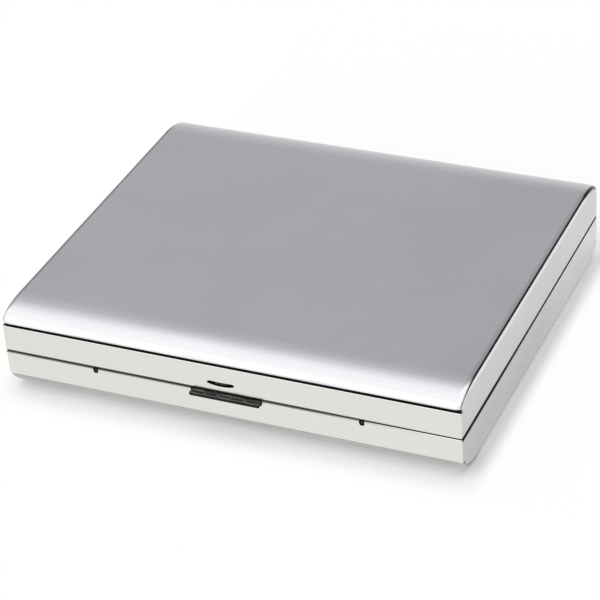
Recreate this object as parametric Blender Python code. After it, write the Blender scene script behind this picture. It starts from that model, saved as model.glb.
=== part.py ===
# Flat metal cigarette case, shown closed. X runs along the hinge, -Y is the latch side and +Z is up.
# The origin lies under the middle of the case, on the surface that it rests on.
# Both halves are drawn once, in heights that grow away from the parting plane, then laid up or down.
import math

import bmesh
import bpy
from mathutils import Matrix, Vector

# Whole case
CASE_WIDTH = 0.0960
CASE_DEPTH = 0.0822
HALF_HEIGHT = 0.00925
ROLL_RUN = 0.0082
PARTING_GAP = 0.0004

# Height of each frame's band, the groove above it and how far the roll stands back from the band
LID_BAND_HEIGHT = 0.0057
LID_GROOVE = 0.0005
LID_ROLL_SETBACK = 0.0
BASE_BAND_HEIGHT = 0.00525
BASE_GROOVE = 0.0003
BASE_ROLL_SETBACK = 0.0004

# Sheets and the gaps between them
FRAME_WALL = 0.0006
COVER_SHEET = 0.00035
LINER_SHEET = 0.0004
FIT_GAP = 0.0003
OVERRUN = 0.0010

# Rounded edges
FRAME_EDGE = 0.0002
FRAME_CORNER = 0.0004
COVER_EDGE = 0.0001

# Flange that tucks each cover inside its frame
COVER_FLANGE = 0.0018

# Liner trays
LINER_SIDE_RIM = 0.0012
LINER_RISE = 0.0019
LINER_CORNER = 0.0020
LINER_BACK_RIM = 0.00065
RIM_RECESS = 0.0001
RIM_CORNER = 0.0004

# Hinge
HINGE_LENGTH = 0.0700
HINGE_KNUCKLES = 5
HINGE_SHEET = 0.00035
HINGE_BARREL_RADIUS = 0.0011
HINGE_AXIS_PROUD = 0.0001
HINGE_PIN_RADIUS = 0.00055
HINGE_BEND_HEIGHT = 0.0019
HINGE_EYE_END = math.radians(478)
KNUCKLE_GAP = 0.0003

# Latch
LATCH_TRAVEL = 0.0010
TRAVEL_GAP = 0.0002
BAR_LENGTH = 0.0149
BAR_CENTRE = 0.00025
BAR_HEIGHT = 0.0011
BAR_PROUD = 0.0012
BAR_DROP = 0.00015
BAR_EDGE = 0.0002
BAR_FLUTES = 6
FLUTE_RADIUS = 0.0009
FLUTE_DEPTH = 0.0004
FLUTE_LAND = 0.0005
NOTCH_GAP = 0.0003
HOOK_SHEET = 0.0004
HOOK_PLATE_LENGTH = 0.0120
HOOK_PLATE_HEIGHT = 0.0028
HOOK_PLATE_DROP = 0.00025
HOOK_TAB_WIDTH = 0.0044
HOOK_TAB_HEIGHT = 0.00265
CATCH_CENTRE = -0.0009
NOSE_WIDTH = 0.0026
NOSE_REACH = 0.0006
NOSE_TAPER = 0.0001
SLOT_LENGTH = 0.0057
SLOT_HEIGHT = 0.0024
SLOT_SAG = 0.0010
SLOT_CROWN = 0.00015
SLOT_CLEARANCE = 0.00015
STRIP_SHEET = 0.0003
STRIP_LENGTH = 0.0610
STRIP_HEIGHT = 0.0028
STRIP_DROP = 0.0001
STRIP_FLAT = 0.0160
STRIP_BOW = 0.0480
RIVET_SPREAD = 0.0560
RIVET_DROP = 0.0006
RIVET_RADIUS = 0.00032
RIVET_HOLE_GAP = 0.0002
RIVET_RECESS = 0.0001
RIVET_HEAD_RADIUS = 0.0009
RIVET_HEAD_HEIGHT = 0.00045
RIVET_CHAMFER = 0.0001
RIVET_DOME = 0.0002
RIM_OPENING_MARGIN = 0.0010

# Retaining arm of each half
ARM_SHEET = 0.00045
ARM_EYE_RADIUS = 0.0011
ARM_PIN_RADIUS = 0.00045
ARM_ROOT_WIDTH = 0.0140
ARM_TIP_WIDTH = 0.0090
ARM_REACH = 0.0568
ARM_OFFSET = 0.0140
ARM_PIVOT_SETBACK = 0.0037
ARM_PIVOT_LIFT = 0.0016
ARM_SWING = math.radians(13)
ARM_SPRING_NOTCH = 0.0062
ARM_LIP_RADIUS = 0.0040
ARM_LIP_ANGLE = math.radians(40)
ARM_EYE_END = math.radians(195)
EAR_SHEET = 0.0005
EAR_RADIUS = 0.0012
EAR_PIN_GAP = 0.0001
EAR_BACK_DROP = 0.00015
WEB_SHEET = 0.0004
PIN_END = 0.0002
STOP_RADIUS = 0.0003
STOP_SETBACK = 0.00175
STOP_EAR_RADIUS = 0.00075
STOP_GAP = 0.0001

# Torsion spring on each arm pin
SPRING_WIRE_RADIUS = 0.0002
SPRING_COIL_RADIUS = 0.00095
SPRING_TURNS = 5
SPRING_PITCH = 0.00085
SPRING_FRONT_LEG = 0.0055
SPRING_LEG_BEND = 0.0024

# Counts of facets
ROLL_STEPS = 12
CORNER_STEPS = 4
EYE_STEPS = 18
ROUND_STEPS = 20
SLOT_STEPS = 8
LIP_STEPS = 4
EASE_STEPS = 8
COIL_STEPS = 9
SOFT_STEPS = 2
UPRIGHT_STEPS = 3

# How far the points along a roll keep to even turns of the surface, against even steps of the ellipse
EVEN_TURN_SHARE = 0.5

LID = 1
BASE = -1

# Faces and heights that the pieces share
half_width = CASE_WIDTH / 2
front_face = -CASE_DEPTH / 2
back_face = CASE_DEPTH / 2
roll_front = front_face + ROLL_RUN
roll_back = back_face - ROLL_RUN
edge_height = PARTING_GAP / 2
front_wall_inner = front_face + FRAME_WALL
back_wall_inner = back_face - FRAME_WALL
side_wall_inner = half_width - FRAME_WALL
flange_half_width = side_wall_inner - FIT_GAP

hook_front = front_wall_inner + FIT_GAP
hook_back = hook_front + HOOK_SHEET
strip_front = hook_back + FIT_GAP
strip_back = strip_front + STRIP_SHEET
leaf_outer = back_wall_inner - FIT_GAP
leaf_inner = leaf_outer - HINGE_SHEET

rim_half_width = side_wall_inner - FIT_GAP
rim_front = front_wall_inner + FIT_GAP
rim_back = leaf_inner - FIT_GAP
rim_low = edge_height + RIM_RECESS
rim_high = rim_low + LINER_SHEET
liner_half_width = side_wall_inner - LINER_SIDE_RIM
liner_front = strip_back + LATCH_TRAVEL + TRAVEL_GAP
liner_back = rim_back - LINER_BACK_RIM
floor_outer = HALF_HEIGHT - COVER_SHEET - FIT_GAP
floor_inner = floor_outer - LINER_SHEET

hinge_axis_y = back_face + HINGE_AXIS_PROUD
relief_radius = HINGE_BARREL_RADIUS + FIT_GAP
knuckle_pitch = (HINGE_LENGTH + KNUCKLE_GAP) / HINGE_KNUCKLES

bar_top = edge_height + BAR_DROP
bar_bottom = bar_top + BAR_HEIGHT
rivet_height = edge_height + RIVET_DROP

arm_pivot_y = liner_back - LINER_SHEET - ARM_PIVOT_SETBACK
arm_pivot_height = floor_inner - ARM_PIVOT_LIFT
arm_eye_path_radius = ARM_EYE_RADIUS - ARM_SHEET / 2
arm_face_offset = ARM_EYE_RADIUS - ARM_SHEET
web_back = liner_back - LINER_SHEET - FIT_GAP
web_front = web_back - WEB_SHEET
ear_inner = ARM_ROOT_WIDTH / 2 + FIT_GAP
ear_outer = ear_inner + EAR_SHEET
stop_slope = STOP_SETBACK * math.sin(ARM_SWING)
stop_offset = (arm_face_offset - STOP_RADIUS - STOP_GAP - stop_slope) / math.cos(ARM_SWING)


def level(side, height):
    # World Z of a height measured from the parting plane, up for the lid and down for the base
    return HALF_HEIGHT + side * height


def band_top(side):
    return edge_height + (LID_BAND_HEIGHT if side == LID else BASE_BAND_HEIGHT)


def cover_low(side):
    return band_top(side) + (LID_GROOVE if side == LID else BASE_GROOVE)


def flange_low(side):
    return cover_low(side) - COVER_FLANGE


def laid(side, outline):
    return [(across, level(side, height)) for across, height in outline]


def clear_scene():
    for old in list(bpy.data.objects):
        bpy.data.objects.remove(old, do_unlink=True)


def metal(name, colour, roughness, metallic=1.0):
    material = bpy.data.materials.new(name)
    material.use_nodes = True
    shader = material.node_tree.nodes["Principled BSDF"]
    shader.inputs["Base Color"].default_value = (*colour, 1.0)
    shader.inputs["Roughness"].default_value = roughness
    shader.inputs["Metallic"].default_value = metallic
    material.diffuse_color = (*colour, 1.0)
    return material


def pivot(name, place, parent=None):
    # Empty on a joint's axis, which carries the pieces that move about it
    empty = bpy.data.objects.new(name, None)
    empty.empty_display_size = FRAME_WALL
    bpy.context.scene.collection.objects.link(empty)
    if parent is not None:
        empty.parent = parent
        empty.location = Vector(place) - Vector(parent["place"])
    else:
        empty.location = place
    empty["place"] = tuple(place)
    return empty


def finish(name, shape, carrier, material):
    # Puts a shape drawn in the case's own frame on its carrier, with its origin on the carrier's axis
    bmesh.ops.recalc_face_normals(shape, faces=shape.faces)
    mesh = bpy.data.meshes.new(name)
    shape.to_mesh(mesh)
    shape.free()
    mesh.shade_smooth()
    mesh.set_sharp_from_angle(angle=math.radians(35))
    mesh.transform(Matrix.Translation(-Vector(carrier["place"])))
    piece = bpy.data.objects.new(name, mesh)
    bpy.context.scene.collection.objects.link(piece)
    piece.parent = carrier
    if material is not None:
        mesh.materials.append(material)
    return piece


def prism(name, axis, outline, low, high, carrier, material=None):
    # Closed outline extruded along an axis: (y, z) along X, (x, z) along Y, (x, y) along Z
    order = {"X": (2, 0, 1), "Y": (0, 2, 1), "Z": (0, 1, 2)}[axis]

    def place(*point):
        return Vector([point[index] for index in order])

    shape = bmesh.new()
    face = shape.faces.new([shape.verts.new(place(first, second, low)) for first, second in outline])
    grown = bmesh.ops.extrude_face_region(shape, geom=[face])["geom"]
    moved = [item for item in grown if isinstance(item, bmesh.types.BMVert)]
    bmesh.ops.translate(shape, vec=place(0, 0, high - low), verts=moved)
    return finish(name, shape, carrier, material)


def block(name, x_span, y_span, z_span, carrier, material=None):
    outline = rectangle(y_span, z_span)
    return prism(name, "X", outline, x_span[0], x_span[1], carrier, material)


def turned(name, profile, x, z, carrier, material):
    # Turned piece about a line along Y; the profile is (radius, y) from one end of the axis to the other
    shape = bmesh.new()
    verts = [shape.verts.new((x + radius, y, z)) for radius, y in profile]
    edges = [shape.edges.new(pair) for pair in zip(verts, verts[1:])]
    bmesh.ops.spin(
        shape, geom=verts + edges, cent=(x, 0, z), axis=(0, 1, 0),
        angle=2 * math.pi, steps=ROUND_STEPS, use_merge=True,
    )
    bmesh.ops.remove_doubles(shape, verts=shape.verts, dist=RIVET_RADIUS / ROUND_STEPS)
    return finish(name, shape, carrier, material)


def combine(target, tool, operation):
    modifier = target.modifiers.new(tool.name, "BOOLEAN")
    modifier.operation = operation
    modifier.solver = "EXACT"
    modifier.object = tool
    tool.hide_render = True
    tool.display_type = "WIRE"


def soften(target, width):
    modifier = target.modifiers.new("soft_edges", "BEVEL")
    modifier.width = width
    modifier.segments = SOFT_STEPS
    modifier.limit_method = "ANGLE"
    modifier.angle_limit = math.radians(40)


def rectangle(first_span, second_span):
    first_low, first_high = first_span
    second_low, second_high = second_span
    return [
        (first_low, second_low), (first_high, second_low),
        (first_high, second_high), (first_low, second_high),
    ]


def arc(centre, radius, start, end, steps):
    points = []
    for index in range(steps + 1):
        angle = start + (end - start) * index / steps
        points.append((centre[0] + radius * math.cos(angle), centre[1] + radius * math.sin(angle)))
    return points


def circle(centre, radius):
    return arc(centre, radius, 0, 2 * math.pi, ROUND_STEPS)[:-1]


def rounded_rectangle(x_half, y_low, y_high, radius):
    corners = [
        (x_half - radius, y_high - radius, 0),
        (radius - x_half, y_high - radius, math.pi / 2),
        (radius - x_half, y_low + radius, math.pi),
        (x_half - radius, y_low + radius, math.pi * 3 / 2),
    ]
    outline = []
    for x, y, start in corners:
        outline += arc((x, y), radius, start, start + math.pi / 2, CORNER_STEPS)
    return outline


def roll(centre, run, rise, low):
    # Quarter ellipse from its low edge up to the flat, with finer steps where it turns faster
    start = math.asin((low - centre[1]) / rise)
    start_turn = math.atan2(run * math.sin(start), rise * math.cos(start))
    points = []
    for index in range(ROLL_STEPS + 1):
        share = index / ROLL_STEPS
        turn = start_turn + (math.pi / 2 - start_turn) * share
        by_turn = math.atan2(rise * math.sin(turn), run * math.cos(turn))
        by_step = start + (math.pi / 2 - start) * share
        angle = by_step + (by_turn - by_step) * EVEN_TURN_SHARE
        points.append((centre[0] - run * math.cos(angle), centre[1] + rise * math.sin(angle)))
    return points


def mirrored_roll(centre, run, rise, low):
    front = roll((0, centre[1]), run, rise, low)
    return [(centre[0] - across, height) for across, height in reversed(front)]


def sheet_outline(path, thickness):
    # Outline of a sheet of even thickness whose middle follows an open path
    left = []
    right = []
    last = len(path) - 1
    for index, (across, height) in enumerate(path):
        before = Vector(path[index]) - Vector(path[index - 1]) if index > 0 else None
        after = Vector(path[index + 1]) - Vector(path[index]) if index < last else None
        before = (before or after).normalized()
        after = (after or before).normalized()
        normal = Vector((-before.y, before.x))
        bisector = (normal + Vector((-after.y, after.x))).normalized()
        reach = thickness / 2 / bisector.dot(normal)
        left.append((across + bisector.x * reach, height + bisector.y * reach))
        right.append((across - bisector.x * reach, height - bisector.y * reach))
    return left + right[::-1]


def hull(points):
    # Smallest convex outline round a set of points
    ordered = sorted(set(points))

    def chain(sequence):
        kept = []
        for point in sequence:
            while len(kept) > 1:
                ahead = Vector(kept[-1]) - Vector(kept[-2])
                across = Vector(point) - Vector(kept[-2])
                if ahead.x * across.y - ahead.y * across.x > 0:
                    break
                kept.pop()
            kept.append(point)
        return kept[:-1]

    return chain(ordered) + chain(reversed(ordered))


def ease(share):
    return (1 - math.cos(math.pi * share)) / 2


def shell_profile(side, depth, low):
    # Front roll, flat and back roll of a half, at a depth under the cover's surface
    setback = LID_ROLL_SETBACK if side == LID else BASE_ROLL_SETBACK
    run = ROLL_RUN - setback - depth
    centre_height = cover_low(side)
    rise = HALF_HEIGHT - centre_height - depth
    front = roll((roll_front, centre_height), run, rise, low)
    back = mirrored_roll((roll_back, centre_height), run, rise, low)
    return front + back


# Frame: polished band with end walls that carry the cover's ends
def frame_outline(side):
    crown = shell_profile(side, COVER_SHEET + FIT_GAP, cover_low(side))
    ledge = band_top(side)
    front = [(front_face, edge_height), (front_face, ledge), (crown[0][0], ledge)]
    back = [(crown[-1][0], ledge), (back_face, ledge), (back_face, edge_height)]
    return front + crown + back


def round_upright_corners(frame):
    # Rounds the band's four outer corners, which stand along Z
    shape = bmesh.new()
    shape.from_mesh(frame.data)
    tall = min(LID_BAND_HEIGHT, BASE_BAND_HEIGHT) / 2
    spans = {edge: edge.verts[0].co - edge.verts[1].co for edge in shape.edges}
    uprights = [edge for edge, span in spans.items() if abs(span.z) > tall and span.xy.length < FRAME_EDGE]
    bmesh.ops.bevel(
        shape, geom=uprights, offset=FRAME_CORNER, segments=UPRIGHT_STEPS, profile=0.5, affect="EDGES",
    )
    shape.to_mesh(frame.data)
    shape.free()


def make_frame(side, name, carrier, material):
    outline = laid(side, frame_outline(side))
    frame = prism(name, "X", outline, -half_width, half_width, carrier, material)
    round_upright_corners(frame)
    soften(frame, FRAME_EDGE)
    hollow = block(
        name + "_hollow", (-side_wall_inner, side_wall_inner), (front_wall_inner, back_wall_inner),
        sorted((level(side, -OVERRUN), level(side, HALF_HEIGHT + OVERRUN))), carrier,
    )
    combine(frame, hollow, "DIFFERENCE")
    reach = HINGE_LENGTH / 2 + FIT_GAP
    relief = prism(
        name + "_relief", "X", circle((hinge_axis_y, HALF_HEIGHT), relief_radius), -reach, reach, carrier,
    )
    combine(frame, relief, "DIFFERENCE")
    return frame


def cut_catch_slot(frame, carrier):
    # Crescent slot in the lid's front wall, for the nose of the hook
    half = SLOT_LENGTH / 2
    lower_radius = (half ** 2 + SLOT_SAG ** 2) / (2 * SLOT_SAG)
    upper_radius = (half ** 2 + SLOT_CROWN ** 2) / (2 * SLOT_CROWN)
    lower_turn = math.asin(half / lower_radius)
    upper_turn = math.asin(half / upper_radius)
    down = -math.pi / 2
    lower_centre = (CATCH_CENTRE, SLOT_HEIGHT - SLOT_SAG + lower_radius)
    upper_centre = (CATCH_CENTRE, SLOT_HEIGHT - SLOT_CROWN + upper_radius)
    lower = arc(lower_centre, lower_radius, down - lower_turn, down + lower_turn, SLOT_STEPS)
    upper = arc(upper_centre, upper_radius, down + upper_turn, down - upper_turn, SLOT_STEPS)
    outline = laid(LID, lower + upper[1:-1])
    slot = prism("catch_slot", "Y", outline, front_face - OVERRUN, front_wall_inner + FIT_GAP / 2, carrier)
    combine(frame, slot, "DIFFERENCE")


def cut_bar_notch(frame, carrier):
    # Notch in the top edge of the base's front wall, through which the push bar stands out
    half = BAR_LENGTH / 2 + NOTCH_GAP
    notch = block(
        "bar_notch", (BAR_CENTRE - half, BAR_CENTRE + half),
        (front_face - OVERRUN, front_wall_inner + FIT_GAP / 2),
        (level(BASE, bar_bottom + NOTCH_GAP), level(BASE, -OVERRUN)), carrier,
    )
    combine(frame, notch, "DIFFERENCE")


def cut_rivet_notches(target, y_span, carrier):
    # Round-bottomed notches in the upper edge, one for each rivet
    radius = RIVET_RADIUS + RIVET_HOLE_GAP
    for end, x in (("left", -RIVET_SPREAD / 2), ("right", RIVET_SPREAD / 2)):
        bottom = arc((x, level(BASE, rivet_height)), radius, -math.pi, 0, ROUND_STEPS // 2)
        outline = bottom + [(x + radius, level(LID, OVERRUN)), (x - radius, level(LID, OVERRUN))]
        hole = prism(target.name + "_hole_" + end, "Y", outline, y_span[0], y_span[1], carrier)
        combine(target, hole, "DIFFERENCE")


# Cover: satin sheet with rolled edges, a step at each groove and a flange tucked into the frame
def cover_section(side, sheet, low):
    front = front_wall_inner + FIT_GAP + sheet
    back = back_wall_inner - FIT_GAP - sheet
    step = cover_low(side) + sheet
    rolls = shell_profile(side, sheet, step)
    return [(front, low), (front, step)] + rolls + [(back, step), (back, low)]


def cover_end_section(side):
    # What lies under the sheet where it laps over an end wall; the rolls are the hollow's own
    low = flange_low(side) - OVERRUN
    edges = shell_profile(side, COVER_SHEET, cover_low(side))
    rolls = shell_profile(side, COVER_SHEET, cover_low(side) + COVER_SHEET)
    return [(edges[0][0], low), edges[0]] + rolls + [edges[-1], (edges[-1][0], low)]


def make_cover(side, name, carrier, material):
    outer = laid(side, cover_section(side, 0, flange_low(side)))
    inner = laid(side, cover_section(side, COVER_SHEET, flange_low(side) - OVERRUN))
    cover = prism(name, "X", outer, -half_width, half_width, carrier, material)
    soften(cover, COVER_EDGE)
    reach = half_width + OVERRUN
    combine(cover, prism(name + "_hollow", "X", inner, -reach, reach, carrier), "DIFFERENCE")
    under = laid(side, cover_end_section(side))
    for end, span in (("left", (-reach, -flange_half_width)), ("right", (flange_half_width, reach))):
        combine(cover, prism(f"{name}_{end}_end", "X", under, span[0], span[1], carrier), "DIFFERENCE")
    return cover


# Liner: pressed tray whose rim closes the space behind the frame
def liner_section(sheet, low):
    front = liner_front + sheet
    back = liner_back - sheet
    rise = LINER_RISE - sheet
    centre_height = floor_outer - LINER_RISE
    front_roll = roll((roll_front, centre_height), roll_front - front, rise, centre_height)
    back_roll = mirrored_roll((roll_back, centre_height), back - roll_back, rise, centre_height)
    return [(front, low)] + front_roll + back_roll + [(back, low)]


def tray_solid(side, name, sheet, low, high, carrier, material=None):
    # Rolled section with the vertical corners rounded in plan
    reach = liner_half_width - sheet
    section = laid(side, liner_section(sheet, low))
    solid = prism(name, "X", section, -reach - OVERRUN, reach + OVERRUN, carrier, material)
    plan = rounded_rectangle(reach, liner_front + sheet, liner_back - sheet, LINER_CORNER - sheet)
    ends = sorted((level(side, low - OVERRUN), level(side, high + OVERRUN)))
    combine(solid, prism(name + "_plan", "Z", plan, ends[0], ends[1], carrier), "INTERSECT")
    return solid


def make_liner(side, name, carrier, material):
    liner = tray_solid(side, name, 0, rim_low, floor_outer, carrier, material)
    rim_plan = rounded_rectangle(rim_half_width, rim_front, rim_back, RIM_CORNER)
    rim_span = sorted((level(side, rim_low), level(side, rim_high)))
    combine(liner, prism(name + "_rim", "Z", rim_plan, rim_span[0], rim_span[1], carrier), "UNION")
    hollow = tray_solid(side, name + "_hollow", LINER_SHEET, rim_low - OVERRUN, floor_inner, carrier)
    combine(liner, hollow, "DIFFERENCE")
    return liner


def open_front_rim(side, liner, x_low, x_high, carrier):
    # Opens the rim in front of the tray, so that the latch can reach across the parting plane
    opening = block(
        liner.name + "_opening", (x_low, x_high), (rim_front - OVERRUN, liner_front - FIT_GAP),
        sorted((level(side, 0), level(side, rim_high + OVERRUN))), carrier,
    )
    combine(liner, opening, "DIFFERENCE")


# Hinge: two leaves rolled round one pin, with knuckles that alternate
def leaf_path(side):
    # From the free edge of the leaf to the end of its roll, about the hinge axis at height zero
    leaf_middle = (leaf_outer + leaf_inner) / 2 - hinge_axis_y
    radius = HINGE_BARREL_RADIUS - HINGE_SHEET / 2
    bend = Vector((leaf_middle, HINGE_BEND_HEIGHT))
    start = math.atan2(bend.y, bend.x) + math.acos(radius / bend.length)
    eye = arc((0, 0), radius, start, HINGE_EYE_END, EYE_STEPS)
    path = [(leaf_middle, flange_low(side) - FIT_GAP), (leaf_middle, HINGE_BEND_HEIGHT)] + eye
    return [(across + hinge_axis_y, height) for across, height in path]


def knuckle_span(index):
    start = -HINGE_LENGTH / 2 + index * knuckle_pitch
    return start, start + knuckle_pitch - KNUCKLE_GAP


def make_hinge_leaf(side, name, own_first, carrier, material):
    outline = laid(side, sheet_outline(leaf_path(side), HINGE_SHEET))
    leaf = prism(name, "X", outline, -HINGE_LENGTH / 2, HINGE_LENGTH / 2, carrier, material)
    notch_height = relief_radius + FIT_GAP
    for index in range(1 - own_first, HINGE_KNUCKLES, 2):
        low, high = knuckle_span(index)
        low = low - KNUCKLE_GAP
        high = high + KNUCKLE_GAP
        notch = block(
            f"{name}_notch_{index}", (low, high),
            (leaf_inner - OVERRUN, hinge_axis_y + relief_radius + OVERRUN),
            sorted((level(side, -relief_radius - OVERRUN), level(side, notch_height))), carrier,
        )
        combine(leaf, notch, "DIFFERENCE")
    return leaf


def make_hinge_pin(carrier, material):
    outline = circle((hinge_axis_y, HALF_HEIGHT), HINGE_PIN_RADIUS)
    return prism("hinge_pin", "X", outline, -HINGE_LENGTH / 2, HINGE_LENGTH / 2, carrier, material)


# Latch: push bar, hook and the flat spring that holds them out
def make_latch_bar(carrier, material):
    half = BAR_LENGTH / 2
    front = front_face - BAR_PROUD
    bar = block(
        "latch_bar", (BAR_CENTRE - half, BAR_CENTRE + half), (front, front_wall_inner),
        (level(BASE, bar_bottom), level(BASE, bar_top)), carrier, material,
    )
    soften(bar, BAR_EDGE)
    # Finger flutes along the upper front edge
    flute_length = (BAR_LENGTH - FLUTE_LAND * (BAR_FLUTES + 1)) / BAR_FLUTES
    lean = (FLUTE_RADIUS - FLUTE_DEPTH) / math.sqrt(2)
    centre = (front - lean, level(BASE, bar_top) + lean)
    for index in range(BAR_FLUTES):
        low = BAR_CENTRE - half + FLUTE_LAND + index * (flute_length + FLUTE_LAND)
        flute = prism(f"flute_{index}", "X", circle(centre, FLUTE_RADIUS), low, low + flute_length, carrier)
        combine(bar, flute, "DIFFERENCE")
    return bar


def make_latch_hook(carrier, material):
    plate_top = edge_height + HOOK_PLATE_DROP
    plate_half = HOOK_PLATE_LENGTH / 2
    hook = block(
        "latch_hook", (BAR_CENTRE - plate_half, BAR_CENTRE + plate_half), (hook_front, hook_back),
        (level(BASE, plate_top + HOOK_PLATE_HEIGHT), level(BASE, plate_top)), carrier, material,
    )
    tab_half = HOOK_TAB_WIDTH / 2
    tab = block(
        "hook_tab", (CATCH_CENTRE - tab_half, CATCH_CENTRE + tab_half), (hook_front, hook_back),
        (level(BASE, plate_top + HOOK_PLATE_HEIGHT / 2), level(LID, HOOK_TAB_HEIGHT)), carrier,
    )
    combine(hook, tab, "UNION")
    nose_low = SLOT_HEIGHT - SLOT_SAG + SLOT_CLEARANCE * 2
    nose_high = SLOT_HEIGHT - SLOT_CROWN - SLOT_CLEARANCE
    tip = hook_front - NOSE_REACH
    root = hook_front + HOOK_SHEET / 2
    outline = [
        (root, nose_low), (tip, nose_low), (tip, nose_high - NOSE_TAPER),
        (hook_front, nose_high), (root, nose_high),
    ]
    nose_half = NOSE_WIDTH / 2
    nose = prism(
        "hook_nose", "X", laid(LID, outline), CATCH_CENTRE - nose_half, CATCH_CENTRE + nose_half, carrier,
    )
    combine(hook, nose, "UNION")
    return hook


def make_latch_spring(carrier, material):
    # Flat spring riveted at its ends, bowed inward behind the hook
    end_y = hook_front + STRIP_SHEET / 2
    middle_y = strip_front + STRIP_SHEET / 2
    inner_end = STRIP_FLAT / 2
    outer_end = STRIP_BOW / 2
    right = [(STRIP_LENGTH / 2, end_y)]
    for index in range(EASE_STEPS + 1):
        share = index / EASE_STEPS
        x = outer_end + (inner_end - outer_end) * share
        right.append((x, end_y + (middle_y - end_y) * ease(share)))
    path = [(-x, y) for x, y in right] + right[::-1]
    outline = sheet_outline(path, STRIP_SHEET)
    top = edge_height + STRIP_DROP
    strip = prism(
        "latch_spring", "Z", outline, level(BASE, top + STRIP_HEIGHT), level(BASE, top), carrier, material,
    )
    cut_rivet_notches(strip, (hook_front - FIT_GAP / 2, hook_front + STRIP_SHEET + FIT_GAP), carrier)
    return strip


def make_rivets(carrier, material):
    tip = front_face + RIVET_RECESS
    seat = hook_front + STRIP_SHEET + FIT_GAP
    crown = seat + RIVET_HEAD_HEIGHT
    profile = [
        (0, tip), (RIVET_RADIUS - RIVET_CHAMFER, tip), (RIVET_RADIUS, tip + RIVET_CHAMFER),
        (RIVET_RADIUS, seat), (RIVET_HEAD_RADIUS, seat), (RIVET_HEAD_RADIUS, crown - RIVET_DOME),
        (RIVET_HEAD_RADIUS - RIVET_DOME, crown), (0, crown),
    ]
    for end, x in (("left", -RIVET_SPREAD / 2), ("right", RIVET_SPREAD / 2)):
        turned("latch_rivet_" + end, profile, x, level(BASE, rivet_height), carrier, material)


# Retaining arm, its bracket, pins and torsion spring
def arm_path():
    # From the lifted lip at the tip, along the floor of the tray and round the eye at the pin
    plate = arm_pivot_height + arm_eye_path_radius
    straight_start = arm_pivot_y - ARM_REACH + ARM_LIP_RADIUS * math.sin(ARM_LIP_ANGLE)
    centre = (straight_start, plate - ARM_LIP_RADIUS)
    turn = math.pi / 2
    lip = arc(centre, ARM_LIP_RADIUS, turn + ARM_LIP_ANGLE, turn, LIP_STEPS)
    eye = arc((arm_pivot_y, arm_pivot_height), arm_eye_path_radius, turn, -ARM_EYE_END, EYE_STEPS)
    return lip + eye


def make_arm(side, name, x_centre, carrier, material):
    outline = laid(side, sheet_outline(arm_path(), ARM_SHEET))
    root = ARM_ROOT_WIDTH / 2
    tip = ARM_TIP_WIDTH / 2
    arm = prism(name, "X", outline, x_centre - root, x_centre + root, carrier, material)
    tip_y = arm_pivot_y - ARM_REACH
    back = arm_pivot_y + ARM_EYE_RADIUS + OVERRUN
    plan = [(x_centre - root, back), (x_centre - root, arm_pivot_y - ARM_ROOT_WIDTH / 2)]
    plan += arc((x_centre, tip_y + tip), tip, math.pi, 2 * math.pi, ROUND_STEPS // 2)
    plan += [(x_centre + root, arm_pivot_y - ARM_ROOT_WIDTH / 2), (x_centre + root, back)]
    span = sorted((level(side, 0), level(side, HALF_HEIGHT)))
    combine(arm, prism(name + "_plan", "Z", plan, span[0], span[1], carrier), "INTERSECT")
    half = ARM_SPRING_NOTCH / 2
    reach = SPRING_COIL_RADIUS + SPRING_WIRE_RADIUS + FIT_GAP
    notch = block(
        name + "_notch", (x_centre - half, x_centre + half), (arm_pivot_y - reach, back),
        span, carrier,
    )
    combine(arm, notch, "DIFFERENCE")
    return arm


def make_bracket(side, name, x_centre, carrier, material):
    pin = (arm_pivot_y, arm_pivot_height)
    stop = (arm_pivot_y - STOP_SETBACK, arm_pivot_height + stop_offset)
    high = arm_pivot_height - EAR_RADIUS
    low = arm_pivot_height + EAR_BACK_DROP
    web_edge = [(web_back, high), (web_back, low)]
    ear = hull(circle(pin, EAR_RADIUS) + circle(stop, STOP_EAR_RADIUS) + web_edge)
    bracket = block(
        name, (x_centre - ear_outer, x_centre + ear_outer), (web_front, web_back),
        sorted((level(side, low), level(side, high))), carrier, material,
    )
    for hand in (-1, 1):
        span = sorted((x_centre + hand * ear_inner, x_centre + hand * ear_outer))
        flank = prism(f"{name}_ear_{hand + 1}", "X", laid(side, ear), span[0], span[1], carrier)
        combine(bracket, flank, "UNION")
    reach = ear_outer + OVERRUN
    for label, centre, radius in (("pin", pin, ARM_PIN_RADIUS), ("stop", stop, STOP_RADIUS)):
        hole = laid(side, circle(centre, radius + EAR_PIN_GAP))
        bore = prism(f"{name}_{label}_bore", "X", hole, x_centre - reach, x_centre + reach, carrier)
        combine(bracket, bore, "DIFFERENCE")
    return bracket


def make_cross_pin(side, name, centre, radius, x_centre, carrier, material):
    reach = ear_outer + PIN_END
    outline = laid(side, circle(centre, radius))
    return prism(name, "X", outline, x_centre - reach, x_centre + reach, carrier, material)


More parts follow.
